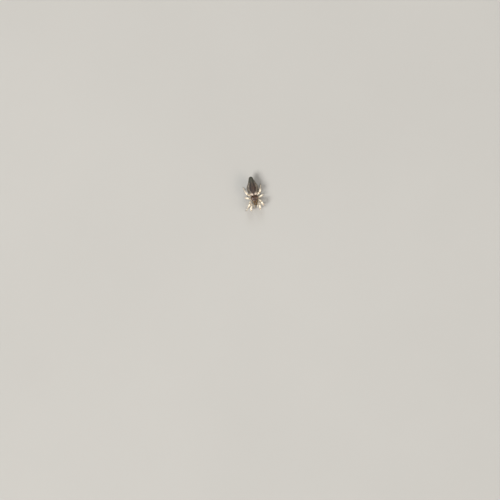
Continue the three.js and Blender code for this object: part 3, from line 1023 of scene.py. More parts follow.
def made_shield_hair(skin, eyes):
    """The head shield's hairs, swept forward, thickest on the head and clear of the eyes."""
    def grows(points, normals):
        side = np.abs(points[:, 0])
        wanted = 0.35 + 0.9 * step(-1.3, -1.9, points[:, 1]) + 0.5 * step(0.5, 0.85, side)
        wanted *= step(1.14, 1.24, points[:, 2])
        for centre, radius in eyes.values():
            wanted *= step(radius * 1.15, radius * 1.45, distance_to(points, centre))
        return wanted

    def flow_at(roots):
        forward = np.where(roots[:, 1] < -1.4, -1.0, -0.6)
        return np.stack([-0.4 * roots[:, 0], forward, np.full(len(roots), 0.3)], 1)

    def map_at(roots):
        turn = np.arctan2(roots[:, 0], roots[:, 2] - 1.5)
        return hair_map(turn, (roots[:, 1] + 2.7) / 2.9)

    chance = np.random.default_rng(22)
    ways = (chance, grows, flow_at, map_at, SHIELD_NOTES)
    return coat(skin, SHIELD_COATS, *ways, spans=(0.6, 1.4), leans=(0.15, 0.1), palest=0.3)


def made_eye(centre, radius, name):
    """An eye: a ball whose outer face is drawn into a steeper lens with a rim behind it."""
    set_down()
    bpy.ops.mesh.primitive_uv_sphere_add(segments=24, ring_count=14, radius=radius)
    piece = named(bpy.context.object, name)
    bpy.ops.object.mode_set(mode="EDIT")
    rim = radius * 0.3
    pick_points(piece, lambda vertex: vertex.co.z > rim)
    bpy.ops.transform.resize(value=(0.94, 0.94, 1.12), center_override=(0, 0, rim))
    bpy.ops.object.mode_set(mode="OBJECT")
    softened(piece, 1)
    outward = (centre - HEAD_MIDDLE).normalized()
    turn = outward.to_track_quat("Z", "Y").to_matrix().to_4x4()
    return moved(piece, Matrix.Translation(centre) @ turn)


# ---------------------------------------------------------------- legs and palps

# Each pair's place on the body, its lengths from the body outwards, and how far each one points
# up or down. The first length holds coxa and trochanter. The last pitch follows from the floor.
FRONT = {
    "base": (0.47, -1.6),
    "lengths": (0.62, 1.95, 0.8, 1.25, 1.15, 0.6),
    "pitches": (10, 64, -22, -88, -124),
}
SECOND = {
    "base": (0.53, -1.24),
    "lengths": (0.62, 1.75, 0.72, 1.0, 0.95, 0.55),
    "pitches": (10, 60, -24, -86, -118),
}
THIRD = {
    "base": (0.51, -0.87),
    "lengths": (0.6, 1.15, 0.6, 0.66, 0.7, 0.5),
    "pitches": (6, 66, -22, -84, -104),
}
REAR = {
    "base": (0.35, -0.52),
    "lengths": (0.6, 1.7, 0.7, 1.05, 0.9, 0.5),
    "pitches": (8, 54, -18, -78, -68),
}
# Each leg: its side, its pair, how far each length is turned outwards, and its own pitches.
LEGS = (
    ("leg1_left", 1, FRONT, (48, -2, -2, -2, -6, -6), None),
    ("leg1_right", -1, FRONT, (48, 16, 16, 16, 10, 10), None),
    ("leg2_left", 1, SECOND, (76, 26, 26, 26, 24, 24), None),
    ("leg2_right", -1, SECOND, (76, 22, 36, 44, 48, 52), (10, 60, -24, -80, -80)),
    ("leg3_left", 1, THIRD, (102, 106, 112, 108, 96, 92), None),
    ("leg3_right", -1, THIRD, (102, 106, 114, 110, 96, 94), None),
    ("leg4_left", 1, REAR, (130, 128, 160, 166, 166, 168), None),
    ("leg4_right", -1, REAR, (130, 126, 158, 162, 164, 166), None),
)
COXA_HEIGHT = 0.87
# The foot's solid: its radius, how deep its flat is cut, and how far back from the tip, in radii.
FOOT_RADIUS = 0.2
FOOT_FLAT = 0.06
FOOT_BACK = 0.7
# How high the middle of the finer foot ends above the floor.
SOLE = 0.035


def heading(side, yaw, pitch):
    """Which way a length points, and which way its upper side faces."""
    w, p = math.radians(yaw), math.radians(pitch)
    way = Vector((side * math.cos(p) * math.sin(w), -math.cos(p) * math.cos(w), math.sin(p)))
    upper = Vector((-side * math.sin(p) * math.sin(w), math.sin(p) * math.cos(w), math.cos(p)))
    return way, upper


def leg_run(side, pair, yaws, pitches):
    """Each length of a leg as its start, direction, upper side and length."""
    at = Vector((side * pair["base"][0], pair["base"][1], COXA_HEIGHT))
    pitches = pitches or pair["pitches"]
    run = []
    for yaw, pitch, length in zip(yaws, pitches, pair["lengths"]):
        way, upper = heading(side, yaw, pitch)
        run.append((at, way, upper, length))
        at = at + way * length
    # The last length reaches down until its sole meets the floor.
    reach = pair["lengths"][-1]
    sine = (at.z - FOOT_RADIUS + FOOT_FLAT) / (reach - FOOT_BACK * FOOT_RADIUS)
    drop = math.degrees(math.asin(sine))
    pitch = drop - 180 if pitches[-1] < -90 else -drop
    way, upper = heading(side, yaws[-1], pitch)
    run.append((at, way, upper, (at.z - SOLE) / -way.z))
    return run


# Each length's shape as drawn once: its own length and half thickness, then rings of
# (share of the length, share of the half thickness, lift).
LENGTH_SHAPES = {
    "coxa": (0.42, 0.18, (
        (-0.12, 0.4, 0.0), (-0.06, 0.76, 0.0), (0.2, 1.0, 0.0), (0.6, 1.04, 0.0),
        (0.9, 0.95, 0.0), (1.0, 0.88, 0.0), (1.01, 0.8, 0.0), (0.97, 0.66, 0.0), (0.88, 0.4, 0.0))),
    "trochanter": (0.24, 0.16, (
        (-0.3, 0.35, 0.0), (-0.15, 0.72, 0.0), (0.15, 0.95, 0.0), (0.5, 1.05, 0.0),
        (0.82, 1.07, 0.0), (1.08, 0.98, 0.0), (1.3, 0.8, 0.0), (1.46, 0.5, 0.0), (1.52, 0.2, 0.0))),
    "femur": (1.95, 0.25, (
        (-0.055, 0.22, 0.0), (-0.045, 0.4, 0.0), (-0.01, 0.56, 0.0), (0.04, 0.63, 0.01),
        (0.12, 0.76, 0.02), (0.3, 0.97, 0.03), (0.48, 1.0, 0.03), (0.68, 0.95, 0.025),
        (0.84, 0.88, 0.01), (0.94, 0.87, 0.0), (0.99, 0.85, 0.0), (1.003, 0.79, 0.0),
        (0.99, 0.66, 0.0), (0.955, 0.4, 0.0))),
    "patella": (0.8, 0.222, (
        (-0.2, 0.3, -0.015), (-0.17, 0.56, -0.01), (-0.08, 0.78, 0.0), (0.04, 0.86, 0.005),
        (0.14, 0.93, 0.012), (0.35, 1.0, 0.02), (0.65, 1.01, 0.02), (0.86, 0.95, 0.01),
        (0.97, 0.9, 0.0), (1.005, 0.82, 0.0), (0.975, 0.66, 0.0), (0.9, 0.4, 0.0))),
    "tibia": (1.25, 0.192, (
        (-0.12, 0.28, 0.0), (-0.1, 0.52, 0.0), (-0.045, 0.76, 0.0), (0.02, 0.84, 0.0),
        (0.09, 0.9, 0.005), (0.25, 0.99, 0.01), (0.5, 1.0, 0.01), (0.75, 0.94, 0.005),
        (0.92, 0.88, 0.0), (0.985, 0.86, 0.0), (1.003, 0.78, 0.0), (0.985, 0.6, 0.0),
        (0.94, 0.36, 0.0))),
    "metatarsus": (1.15, 0.124, (
        (-0.09, 0.35, 0.0), (-0.07, 0.68, 0.0), (-0.02, 0.95, 0.0), (0.05, 1.04, 0.0),
        (0.2, 1.02, 0.004), (0.5, 0.93, 0.006), (0.8, 0.84, 0.002), (0.94, 0.82, 0.0),
        (0.99, 0.8, 0.0), (1.003, 0.72, 0.0), (0.985, 0.54, 0.0), (0.95, 0.34, 0.0))),
    "tarsus": (0.6, 0.09, (
        (-0.1, 0.3, 0.0), (-0.08, 0.6, 0.0), (-0.02, 0.85, 0.0), (0.08, 0.98, 0.0),
        (0.35, 1.0, 0.0), (0.65, 0.9, 0.0), (0.86, 0.7, 0.0), (0.95, 0.48, 0.0), (1.0, 0.24, 0.0))),
}
# Dark rings on each length: where they start and end, and how strong they are.
LENGTH_RINGS = {
    "coxa": ((0.7, 1.2, 0.25),),
    "trochanter": ((0.5, 1.2, 0.3),),
    "femur": ((0.36, 0.44, 0.3), (0.82, 0.96, 0.8)),
    "patella": ((0.62, 1.1, 0.5),),
    "tibia": ((0.34, 0.46, 0.6), (0.86, 1.1, 0.9)),
    "metatarsus": ((0.4, 0.52, 0.6), (0.86, 1.1, 0.9)),
    "tarsus": ((0.68, 1.1, 0.8),),
    "palp_femur": ((0.8, 1.1, 0.45),),
    "palp_patella": ((0.6, 1.2, 0.35),),
    "palp_tibia": ((0.65, 1.1, 0.6),),
    "palp_tarsus": ((0.68, 1.1, 0.8),),
}
# Spines on each length: share of the length, turn from the upper side in degrees, length in mm.
PALP_SPINES = ((0.45, 30, 0.22), (0.6, -55, 0.22), (0.85, 75, 0.2), (0.8, -20, 0.2))
LENGTH_SPINES = {
    "femur": (
        (0.3, 20, 0.3), (0.42, -35, 0.32), (0.55, 70, 0.34), (0.62, -75, 0.34),
        (0.74, 15, 0.34), (0.84, -50, 0.32), (0.86, 55, 0.3)),
    "patella": ((0.2, 10, 0.26), (0.86, -8, 0.3)),
    "tibia": (
        (0.18, 25, 0.36), (0.3, -60, 0.38), (0.42, 80, 0.38), (0.55, -20, 0.38), (0.68, 125, 0.36),
        (0.72, -115, 0.36), (0.9, 60, 0.34), (0.9, -70, 0.34), (0.92, 165, 0.34)),
    "metatarsus": (
        (0.1, 30, 0.34), (0.22, -80, 0.34), (0.36, 110, 0.32), (0.5, -25, 0.32),
        (0.93, 150, 0.26), (0.93, -150, 0.26)),
    "palp_femur": PALP_SPINES,
    "palp_tibia": PALP_SPINES,
    "palp_tarsus": PALP_SPINES,
}
# How many hairs stand on each square millimetre of a length.
HAIRS_PER_AREA = {
    "coxa": 190, "trochanter": 210, "femur": 210, "patella": 230, "tibia": 260,
    "metatarsus": 360, "tarsus": 620,
    "palp_femur": 280, "palp_patella": 300, "palp_tibia": 360, "palp_tarsus": 620,
}
BRISTLE_SHARE = 0.12
# Lengths that hairs cover to the very end.
COVERED_ENDS = ("trochanter", "tarsus", "palp_tarsus")
# The shares of a leg's first length that its coxa and trochanter take.
COXA_SHARE = 0.42 / 0.62
TROCHANTER_SHARE = 0.2 / 0.62
# The solids of a leg.
CAD_LENGTHS = ("thigh", "shin", "foot")
# A palp's lengths: start, end and half thickness.
PALP_LENGTHS = (
    ("palp_femur", (0.4, -2.0, 0.88), (0.48, -2.56, 1.02), 0.128),
    ("palp_patella", (0.48, -2.56, 1.02), (0.425, -2.76, 0.97), 0.135),
    ("palp_tibia", (0.43, -2.75, 0.975), (0.36, -2.98, 0.8), 0.134),
    ("palp_tarsus", (0.36, -2.98, 0.8), (0.25, -3.04, 0.32), 0.115),
)
# Rings of a palp's length, and of its last one.
PALP_SHAPE = (
    (-0.3, 0.3, 0.0), (-0.26, 0.56, 0.0), (-0.1, 0.78, 0.0), (0.1, 0.92, 0.0), (0.45, 1.0, 0.02),
    (0.8, 0.95, 0.0), (0.96, 0.88, 0.0), (1.01, 0.8, 0.0), (0.98, 0.64, 0.0), (0.86, 0.4, 0.0),
)
PALP_END = (
    (-0.16, 0.3, 0.0), (-0.13, 0.6, 0.0), (-0.03, 0.84, 0.0), (0.12, 0.97, 0.0), (0.4, 1.0, 0.02),
    (0.7, 0.86, 0.0), (0.9, 0.56, 0.0), (0.98, 0.24, 0.0),
)


def drawn_length(name, rows, length, thick, rise=1.0):
    """A limb's length drawn out along Y: share of the length, share of the thickness, lift."""
    rings = []
    for share, girth, lift in rows:
        rings.append((share * length, girth * thick, girth * thick, lift * rise))
    return softened(drawn_out(name, 10, rings), 2)


def made_length(order, kind):
    """One length of a leg, drawn out along Y at its usual size."""
    length, thick, rows = LENGTH_SHAPES[kind]
    piece = drawn_length("shape_" + kind, rows, length, thick)
    return swollen(piece, 0.004 * ripple(points_of(piece), 0.3, 40 + order))


def ring_strength(kind, share):
    """How dark the rings are at each share of the length, with soft edges."""
    soft = 0.06 if kind.startswith("palp") else 0.05
    total = np.zeros(len(share))
    for start, end, strength in LENGTH_RINGS[kind]:
        band = step(start - soft, start + soft, share) * step(end + soft, end - soft, share)
        total = np.maximum(total, band * strength)
    return total


def made_spine():
    """One stiff spine along Y, a little curved, with a swollen socket at its root."""
    points = ((0, -0.03, -0.005), (0, 0.05, 0.0), (0, 0.4, 0.03), (0, 0.72, 0.03), (0, 1.0, 0.0))
    return horn("shape_spine", points, (0.055, 0.06, 0.045, 0.028, 0.004), around=1, along=3)


def made_claw():
    """One hooked claw along Y, about a millimetre long before it is scaled."""
    points = ((0, -0.1, 0), (0, 0.35, 0.1), (0, 0.75, 0.08), (0, 1.0, -0.12), (0, 1.02, -0.5))
    return horn("shape_claw", points, (0.16, 0.14, 0.1, 0.07, 0.01), around=2, along=4)


def made_bellows():
    """A short folded sleeve of soft skin about the origin, along Y."""
    rows = (
        (-0.5, 0.6), (-0.42, 0.86), (-0.28, 0.96), (-0.16, 0.86), (-0.04, 0.98), (0.08, 0.86),
        (0.2, 0.96), (0.34, 0.86), (0.46, 0.6),
    )
    rings = [(along, girth, girth, 0) for along, girth in rows]
    return softened(drawn_out("shape_bellows", 10, rings), 1)


def stood_spines(part, drawn, matrix, way, places, girth):
    """Stands spines on a length, leaning to the foot, and notes the dark spots they grow from."""
    local, outwards, length, thick = drawn
    turns = np.degrees(np.arctan2(local[:, 0], local[:, 2]))
    spots = np.zeros(len(local))
    made = []
    for along, angle, size in places:
        bend = (turns - angle + 180) % 360 - 180
        miss = np.abs(local[:, 1] - along * length) + np.abs(np.radians(bend)) * thick
        nearest = int(np.argmin(miss))
        spots = np.maximum(spots, hill(np.linalg.norm(local - local[nearest], axis=1), 0.04))
        root = matrix @ Vector(local[nearest])
        outward = (matrix.to_3x3() @ Vector(outwards[nearest])).normalized()
        lean = (way + outward * 0.72).normalized()
        place = standing(root - lean * 0.01, lean, square_to(lean, outward), size, girth)
        made.append(copied(ONE_SPINE, "spine", place))
    note(part, "spot", spots)
    return made


def length_hairs(part, matrix, length, way, count, strip, tip, chance):
    """Hairs lying along one length, some of them longer, darker bristles."""
    roots, out, corners, portion = scattered(part, count, chance)
    inverse = np.array(matrix.inverted())
    held = roots @ inverse[:3, :3].T + inverse[:3, 3]
    along = held[:, 1] / length
    keep = (out @ np.array(way) < (0.97 if tip else 0.75)) & ((along < 0.975) | tip)
    roots, out, corners, portion = roots[keep], out[keep], corners[keep], portion[keep]
    held, along = held[keep], along[keep]
    count = len(roots)
    bristle = chance.random(count) < BRISTLE_SHARE
    lengths = chance.uniform(0.07, 0.17, count) * np.where(bristle, 1.6, 1.0)
    lengths *= 0.75 if tip else 1.0
    lifts = np.where(bristle, 0.75, 0.42) + chance.normal(0, 0.12, count)
    girths = np.where(bristle, 0.0058, 0.0044) * chance.uniform(0.85, 1.15, count)
    flow = np.tile(np.array(way), (count, 1))
    lifts = np.clip(lifts, 0.1, STEEPEST)
    points = hair_parts(roots, out, flow, lengths, girths, lifts, chance, 0.18)
    # Each length takes one upright strip of the limb's map.
    first, strips = strip
    turn = np.arctan2(held[:, 0], held[:, 2]) / 2 / math.pi + 0.5
    unwrap = np.stack([(first + turn * 0.97) / strips, along.clip(0, 1) * 0.99], 1)
    notes = {key: carried(part, key, corners, portion) for key in RING_NOTES}
    notes["tone"] = np.where(bristle, 0.1 * chance.random(count), chance.random(count))
    return {"points": points, "map": unwrap, "notes": notes}


def joint_skin(at, ways, uppers, thick, size):
    """The soft skin of a joint, set towards the inside of its bend."""
    way = (ways[0] + ways[1]).normalized()
    inner = (uppers[0] + uppers[1]).normalized()
    place = standing(at - inner * thick * 0.2, way, inner, thick * 1.1, thick * size)
    return copied(ONE_BELLOWS, "skin", place)


def put_claws(tip, way, upper):
    """Two hooked claws at a tip, lifted clear of the floor."""
    made = []
    across = way.cross(upper)
    for turn in (-1, 1):
        away = (way + across * 0.3 * turn).normalized()
        place = standing(tip + across * 0.018 * turn, away, square_to(away, upper), 0.085, 0.09)
        hook = copied(ONE_CLAW, "claw", place)
        low = points_of(hook)[:, 2].min()
        made.append(moved(hook, Matrix.Translation((0, 0, max(0.0, 0.003 - low)))))
    return made


def clothed(limb, part, kind, drawn, matrix, way, size, strip, chance):
    """Marks one length in its place, and gives it its spines and hairs."""
    local, _, length, thick = drawn
    stretch, thicken, girth = size
    note(part, "ring", ring_strength(kind, local[:, 1] / length))
    note(part, "top", local[:, 2] / thick)
    spines = LENGTH_SPINES.get(kind, ())
    places = [(along, turn, long * (0.75 + 0.25 * stretch)) for along, turn, long in spines]
    limb["shell"].append(part)
    limb["spines"] += stood_spines(part, drawn, matrix, way, places, girth)
    area = length * stretch * thick * thicken * 2 * math.pi
    count = int(area * HAIRS_PER_AREA[kind])
    tip = kind in COVERED_ENDS
    limb["hairs"].append(length_hairs(part, matrix, length, way, count, strip, tip, chance))


def bare_limb():
    return {"shell": [], "skins": [], "spines": [], "hairs": []}


def settle_limb(limb, name, spines_name, nodes):
    """Joins a limb's parts by kind, and settles them."""
    settle(joined(limb["shell"], name + "_shell"), LEG_SHELL, "legs", *nodes)
    settle(joined(limb["skins"], name + "_joint_skins"), JOINT_SKIN, "membrane")
    settle(joined(limb["spines"], spines_name), SPINE_HORN, "spines")
    settle(hair_piece(name + "_hairs", limb["hairs"]), LEG_HAIR, "hairs")


def made_leg(name, run, shapes, chance):
    """A whole leg's shell, joint skins, spines, claws and hairs, from shapes drawn once."""
    start, way, upper, length = run[0]
    coxa, trochanter = COXA_SHARE * length, TROCHANTER_SHARE * length
    # The trochanter runs a little way into the coxa and into the femur.
    steps = [("coxa", start, way, upper, coxa)]
    steps.append(("trochanter", start + way * coxa * 0.97, way, upper, trochanter * 1.12))
    kinds = ("femur", "patella", "tibia", "metatarsus", "tarsus")
    steps += [(kind, *part) for kind, part in zip(kinds, run[1:])]
    limb = bare_limb()
    for order, (kind, at, way, upper, length) in enumerate(steps):
        own_length, own_thick, _ = LENGTH_SHAPES[kind]
        stretch = length / own_length
        # A shorter leg is a little thinner too.
        thicken = 0.82 + 0.18 * min(stretch, 1.05)
        matrix = standing(at, way, upper, stretch, thicken)
        part = copied(shapes[kind], kind, matrix)
        if order and kind != "femur":
            _, _, before_way, before_upper, _ = steps[order - 1]
            bends = (way, before_way), (upper, before_upper)
            size = 0.5 if kind == "trochanter" else 0.78
            limb["skins"].append(joint_skin(at, *bends, own_thick * thicken, size))
        drawn = (points_of(shapes[kind]), normals_of(shapes[kind]), own_length, own_thick)
        strip = (order, len(steps))
        clothed(limb, part, kind, drawn, matrix, way, (stretch, thicken, 0.24), strip, chance)
    limb["spines"] += put_claws(at + way * length * 0.985, way, upper)
    settle_limb(limb, name, name + "_spines_and_claws", [f"{name}_{part}" for part in CAD_LENGTHS])


def made_palp(side, side_name, chance):
    """A feeler: four lengths, each drawn at its own size, with skins, spines, a claw and hairs."""
    limb = bare_limb()
    before = None
    for order, (kind, start, end, thick) in enumerate(PALP_LENGTHS):
        start, end = mirror_to(side, start), mirror_to(side, end)
        last = kind == "palp_tarsus"
        way = (end - start).normalized()
        upper = square_to(way, Vector((0, -1, 0)) if last else UP)
        length = (end - start).length
        part = drawn_length(kind, PALP_END if last else PALP_SHAPE, length, thick, thick)
        drawn = (points_of(part), normals_of(part), length, thick)
        matrix = standing(start, way, upper)
        moved(part, matrix)
        if before:
            bends = (way, before[0]), (upper, before[1])
            limb["skins"].append(joint_skin(start, *bends, thick, 0.7))
        before = (way, upper)
        strip = (order, len(PALP_LENGTHS))
        clothed(limb, part, kind, drawn, matrix, way, (1, 1, 0.2), strip, chance)
    limb["spines"] += put_claws(end - way * 0.01, way, upper)
    nodes = (f"palp_base_{side_name}", f"palp_tip_{side_name}")
    settle_limb(limb, f"palp_{side_name}", f"palp_{side_name}_spines", nodes)


# ---------------------------------------------------------------- mouthparts and underside

# Rings of a jaw: share of its length, half width, half depth, lift.
JAW_LENGTH = 0.92
JAW_RINGS = (
    (0.0, 0.06, 0.08, 0.0), (0.04, 0.11, 0.15, 0.0), (0.16, 0.145, 0.2, 0.015),
    (0.38, 0.156, 0.215, 0.03), (0.62, 0.152, 0.2, 0.02), (0.82, 0.13, 0.165, 0.0),
    (0.94, 0.102, 0.12, -0.01), (1.0, 0.06, 0.07, -0.015),
)
JAW_LEAN = math.radians(8)
FANG_POINTS = (
    (0.2, -2.47, 0.6), (0.205, -2.55, 0.5), (0.17, -2.6, 0.42), (0.1, -2.57, 0.365),
    (0.03, -2.49, 0.335),
)
# Stations of the breast plate and of the soft side wall: along, half width, top, bottom.
STERNUM_STATIONS = (
    (-0.44, 0.06, 0.98, 0.86), (-0.5, 0.14, 1.02, 0.76), (-0.8, 0.36, 1.08, 0.645),
    (-1.2, 0.455, 1.09, 0.615), (-1.52, 0.41, 1.08, 0.645), (-1.68, 0.27, 1.04, 0.72),
    (-1.73, 0.12, 0.95, 0.8),
)
SIDE_WALL_STATIONS = (
    (-0.16, 0.2, 1.3, 1.04), (-0.3, 0.52, 1.34, 0.97), (-0.6, 0.74, 1.36, 0.92),
    (-0.9, 0.8, 1.36, 0.9), (-1.35, 0.58, 1.36, 0.9), (-1.7, 0.4, 1.36, 0.94),
    (-2.0, 0.34, 1.36, 1.02), (-2.2, 0.22, 1.36, 1.14),
)
# The waist's places along and its radius there.
WAIST_RADII = (
    (-0.5, 0.08), (-0.46, 0.12), (-0.3, 0.13), (-0.22, 0.105), (-0.14, 0.125), (-0.06, 0.105),
    (0.02, 0.125), (0.2, 0.13), (0.36, 0.12), (0.4, 0.08),
)
# A lobe: share of its depth, share of its girth there.
LOBE_ROWS = (
    (-0.96, 0.3), (-0.82, 0.62), (-0.5, 0.92), (0.0, 1.0), (0.45, 0.9), (0.78, 0.62), (0.94, 0.3)
)
# A silk tube: share of its length, share of its girth there.
SILK_TUBE_ROWS = (
    (0.0, 0.75), (0.04, 0.98), (0.2, 1.04), (0.5, 0.98), (0.6, 0.9), (0.64, 0.78), (0.68, 0.82),
    (0.8, 0.72), (0.93, 0.5), (0.98, 0.3), (1.0, 0.12),
)
# Silk tubes: place, lean in degrees, girth at the base and tip, length.
SILK_TUBES = (
    ("front", (0.115, 2.34, 0.47), -30, 0.118, 0.06, 0.4),
    ("rear", (0.105, 2.51, 0.625), -14, 0.105, 0.055, 0.38),
)
SPIGOTS = 9


def made_jaw(side, side_name):
    """A stout jaw hanging from the front of the head, with a boss at its outer shoulder."""
    rings = [(share * JAW_LENGTH, wide, tall, lift) for share, wide, tall, lift in JAW_RINGS]
    piece = softened(drawn_out(f"jaw_{side_name}", 14, rings), 3)
    points = points_of(piece)
    push = 0.004 * ripple(points, 0.3, 51)
    push += 0.025 * hill(distance_to(points, (side * 0.12, 0.14, 0.0)), 0.07)
    push -= 0.014 * hill(points[:, 1] - 0.86 * JAW_LENGTH, 0.03)
    swollen(piece, push)
    way = Vector((0, -math.sin(JAW_LEAN), -math.cos(JAW_LEAN))).normalized()
    upper = square_to(way, Vector((0, -1, 0)))
    across = way.cross(upper) * (1 if way.cross(upper).x > 0 else -1)
    turn = Matrix((across, way, upper)).transposed().to_4x4()
    return moved(piece, Matrix.Translation(mirror_to(side, (0.162, -2.33, 1.44))) @ turn)


def made_fang(side, side_name):
    points = [mirror_to(side, place) for place in FANG_POINTS]
    girths = (0.062, 0.058, 0.045, 0.03, 0.004)
    return horn(f"fang_{side_name}_horn", points, girths, around=3, along=8)


def made_lobe(name, centre, half, seed, lean=0.0):
    """A small rounded plate or lobe, blunter in front than behind."""
    wide, deep, tall = half
    rings = [(share * deep, girth * wide, girth * tall, 0.0) for share, girth in LOBE_ROWS]
    piece = softened(drawn_out(name, 12, rings), 3)
    points = points_of(piece)
    push = 0.05 * min(half) * ripple(points, max(half), seed)
    push -= 0.06 * wide * hill(np.abs(points[:, 0]) - wide * 0.62, wide * 0.1)
    swollen(piece, push)
    turn = Matrix.Rotation(math.radians(lean), 4, "X")
    return moved(piece, Matrix.Translation(centre) @ turn)


def made_sternum():
    """The breast plate: a shield bulging towards each leg, pointed behind."""
    piece = shaped("breast_plate", 20, STERNUM_STATIONS, 3)
    points = points_of(piece)
    x, y, z = points.T
    push = 0.006 * ripple(points, 0.4, 61)
    for leg_along in (-1.6, -1.24, -0.87, -0.55):
        push -= 0.03 * hill(y - leg_along - 0.18, 0.05) * step(0.2, 0.4, np.abs(x))
    edge = 0.9 * np.interp(-y, (0.44, 0.8, 1.2, 1.73), (0.1, 0.36, 0.45, 0.14))
    push -= 0.02 * hill(np.abs(x) - edge, 0.03) * step(0.9, 0.7, z)
    return swollen(piece, push)


def made_waist():
    rings = [(y, radius, radius, 1.0) for y, radius in WAIST_RADII]
    return softened(drawn_out("waist", 14, rings), 2)


def made_side_wall():
    """The soft, folded wall between the head shield's lower edge and the breast plate."""
    piece = shaped("side_wall", 20, SIDE_WALL_STATIONS, 3)
    points = points_of(piece)
    folds = np.sin(2 * math.pi * (points[:, 2] + 0.02 * ripple(points, 0.4, 62)) / 0.055)
    return swollen(piece, 0.006 * folds + 0.008 * ripple(points, 0.3, 63))


def made_silk_tube(name, centre, lean, side, base, tip, length):
    """Two lengths, the outer a short blunt cone, crowned with tiny spigots."""
    rings = []
    for share, part in SILK_TUBE_ROWS:
        girth = (base + (tip - base) * max(0.0, share - 0.5)) * part
        rings.append((share * length, girth, girth, 0))
    parts = [softened(drawn_out(name, 12, rings), 2)]
    chance = np.random.default_rng(71)
    for k in range(SPIGOTS):
        turn, out = k * 2.4, base * 0.28 * math.sqrt((k + 0.4) / SPIGOTS)
        x, z = math.cos(turn) * out, math.sin(turn) * out
        y = length * (0.985 - 0.25 * out / base)
        points = [
            (x * (1 + 0.5 * s), y + 0.075 * s * chance.uniform(0.8, 1.2), z * (1 + 0.5 * s))
            for s in (-0.2, 0.2, 0.5, 0.8, 1.0)
        ]
        girths = (0.009, 0.008, 0.006, 0.004, 0.002)
        parts.append(horn(f"{name}_spigot_{k}", points, girths, around=1, along=2))
    low = math.radians(lean)
    way = Vector((side * -0.16, -math.sin(low), -math.cos(low))).normalized()
    place = standing(Vector(centre) - way * length * 0.5, way, square_to(way, Vector((0, 1, 0))))
    return moved(joined(parts, name), place)


small_chance = np.random.default_rng(25)


def furred(piece, finish, slot, nodes, hairs, grows):
    """Short dark hairs on a small part where the test lets them grow. Settles both."""
    short_hairs = plain_hairs(piece, *hairs, small_chance, grows)
    settle(piece, finish, slot, *nodes)
    settle(short_hairs, DARK_HAIR, "hairs")


# ---------------------------------------------------------------- making the spider

eyes = eye_places()

abdomen = made_abdomen()
back_hair = made_back_hair(abdomen)
settle(abdomen, ABDOMEN_SKIN, "abdomen", "abdomen")
settle(back_hair, BACK_HAIR, "hairs")

carapace = made_carapace(eyes)
shield_hair = made_shield_hair(carapace, eyes)
settle(carapace, HEAD_SHIELD, "carapace", "carapace")
settle(shield_hair, SHIELD_HAIR, "hairs")
for eye_name, (eye_centre, eye_radius) in eyes.items():
    settle(made_eye(eye_centre, eye_radius, eye_name + "_lens"), EYE_LENS, "eyes", eye_name)

# What repeats is modelled once, copied wherever it stands, and then put away.
length_shapes = {kind: made_length(order, kind) for order, kind in enumerate(LENGTH_SHAPES)}
ONE_SPINE, ONE_CLAW, ONE_BELLOWS = made_spine(), made_claw(), made_bellows()
leg_chance = np.random.default_rng(23)
for leg_name, side, pair, yaws, pitches in LEGS:
    made_leg(leg_name, leg_run(side, pair, yaws, pitches), length_shapes, leg_chance)

palp_chance = np.random.default_rng(24)
for side, side_name in ((1, "left"), (-1, "right")):
    made_palp(side, side_name, palp_chance)
    furred(
        made_jaw(side, side_name), JAW_SHELL, "mouthparts", [f"chelicera_{side_name}"],
        (330, 0.12, 0.5, (0, -0.1, -1)),
        lambda points, normals: (
            step(-2.1, -2.5, points[:, 1]) * step(1.4, 1.2, points[:, 2]) + 0.05
        ),
    )
    settle(made_fang(side, side_name), FANG_HORN, "fangs", f"fang_{side_name}")
    lobe_place = mirror_to(side, (0.2, -1.98, 0.8))
    furred(
        made_lobe(f"mouth_lobe_{side_name}", lobe_place, (0.115, 0.19, 0.12), 52),
        MOUTH_SHELL, "mouthparts", [f"endite_{side_name}"], (120, 0.09, 0.8, (-side, -0.6, -0.3)),
        lambda points, normals: step(0.86, 0.74, points[:, 2]),
    )
    for row, place, lean, base, tip, length in SILK_TUBES:
        tube = made_silk_tube(
            f"silk_tube_{row}_{side_name}", mirror_to(side, place), lean, side, base, tip, length
        )
        furred(
            tube, SPINNERET_SKIN, "spinnerets", [f"spinneret_{row}_{side_name}"],
            (70, 0.055, 0.45, (0, 0.2, -1)),
            lambda points, normals: step(0.4, 0.3, np.abs(normals[:, 2])) + 0.02,
        )
for shape in (*length_shapes.values(), ONE_SPINE, ONE_CLAW, ONE_BELLOWS):
    bpy.data.objects.remove(shape)

furred(
    made_sternum(), BREAST_SHELL, "sternum", ["sternum"], (420, 0.1, 0.5, (0, 1, -0.2)),
    lambda points, normals: step(-0.2, -0.6, normals[:, 2]),
)
lip = made_lobe("lip_plate", Vector((0, -1.86, 0.78)), (0.13, 0.13, 0.1), 53)
settle(lip, MOUTH_SHELL, "mouthparts", "labium")
settle(made_waist(), WAIST_SKIN, "mouthparts", "pedicel")
settle(made_side_wall(), WAIST_SKIN, "membrane")

# The vent: a small mound behind the silk tubes.
furred(
    made_lobe("vent_mound", Vector((0, 2.72, 1.02)), (0.12, 0.13, 0.08), 55, lean=45),
    SPINNERET_SKIN, "spinnerets", [], (50, 0.06, 0.5, (0, 0.6, -0.8)),
    lambda points, normals: step(0.2, -0.3, normals[:, 2]),
)

# The epigyne: a low dark swelling with a short tongue that points back.
swelling = made_lobe("epigyne_swelling", Vector((0, 0.82, 0.6)), (0.2, 0.22, 0.12), 54, lean=-28)
tongue = horn(
    "epigyne_tongue",
    ((0, 0.76, 0.53), (0, 0.8, 0.47), (0, 0.9, 0.42), (0, 1.0, 0.385), (0, 1.06, 0.39)),
    (0.05, 0.048, 0.036, 0.03, 0.012),
)
settle(joined([swelling, tongue], "epigyne_swelling"), MOUTH_SHELL, "mouthparts", "epigyne")


# ---------------------------------------------------------------- floor, light and camera

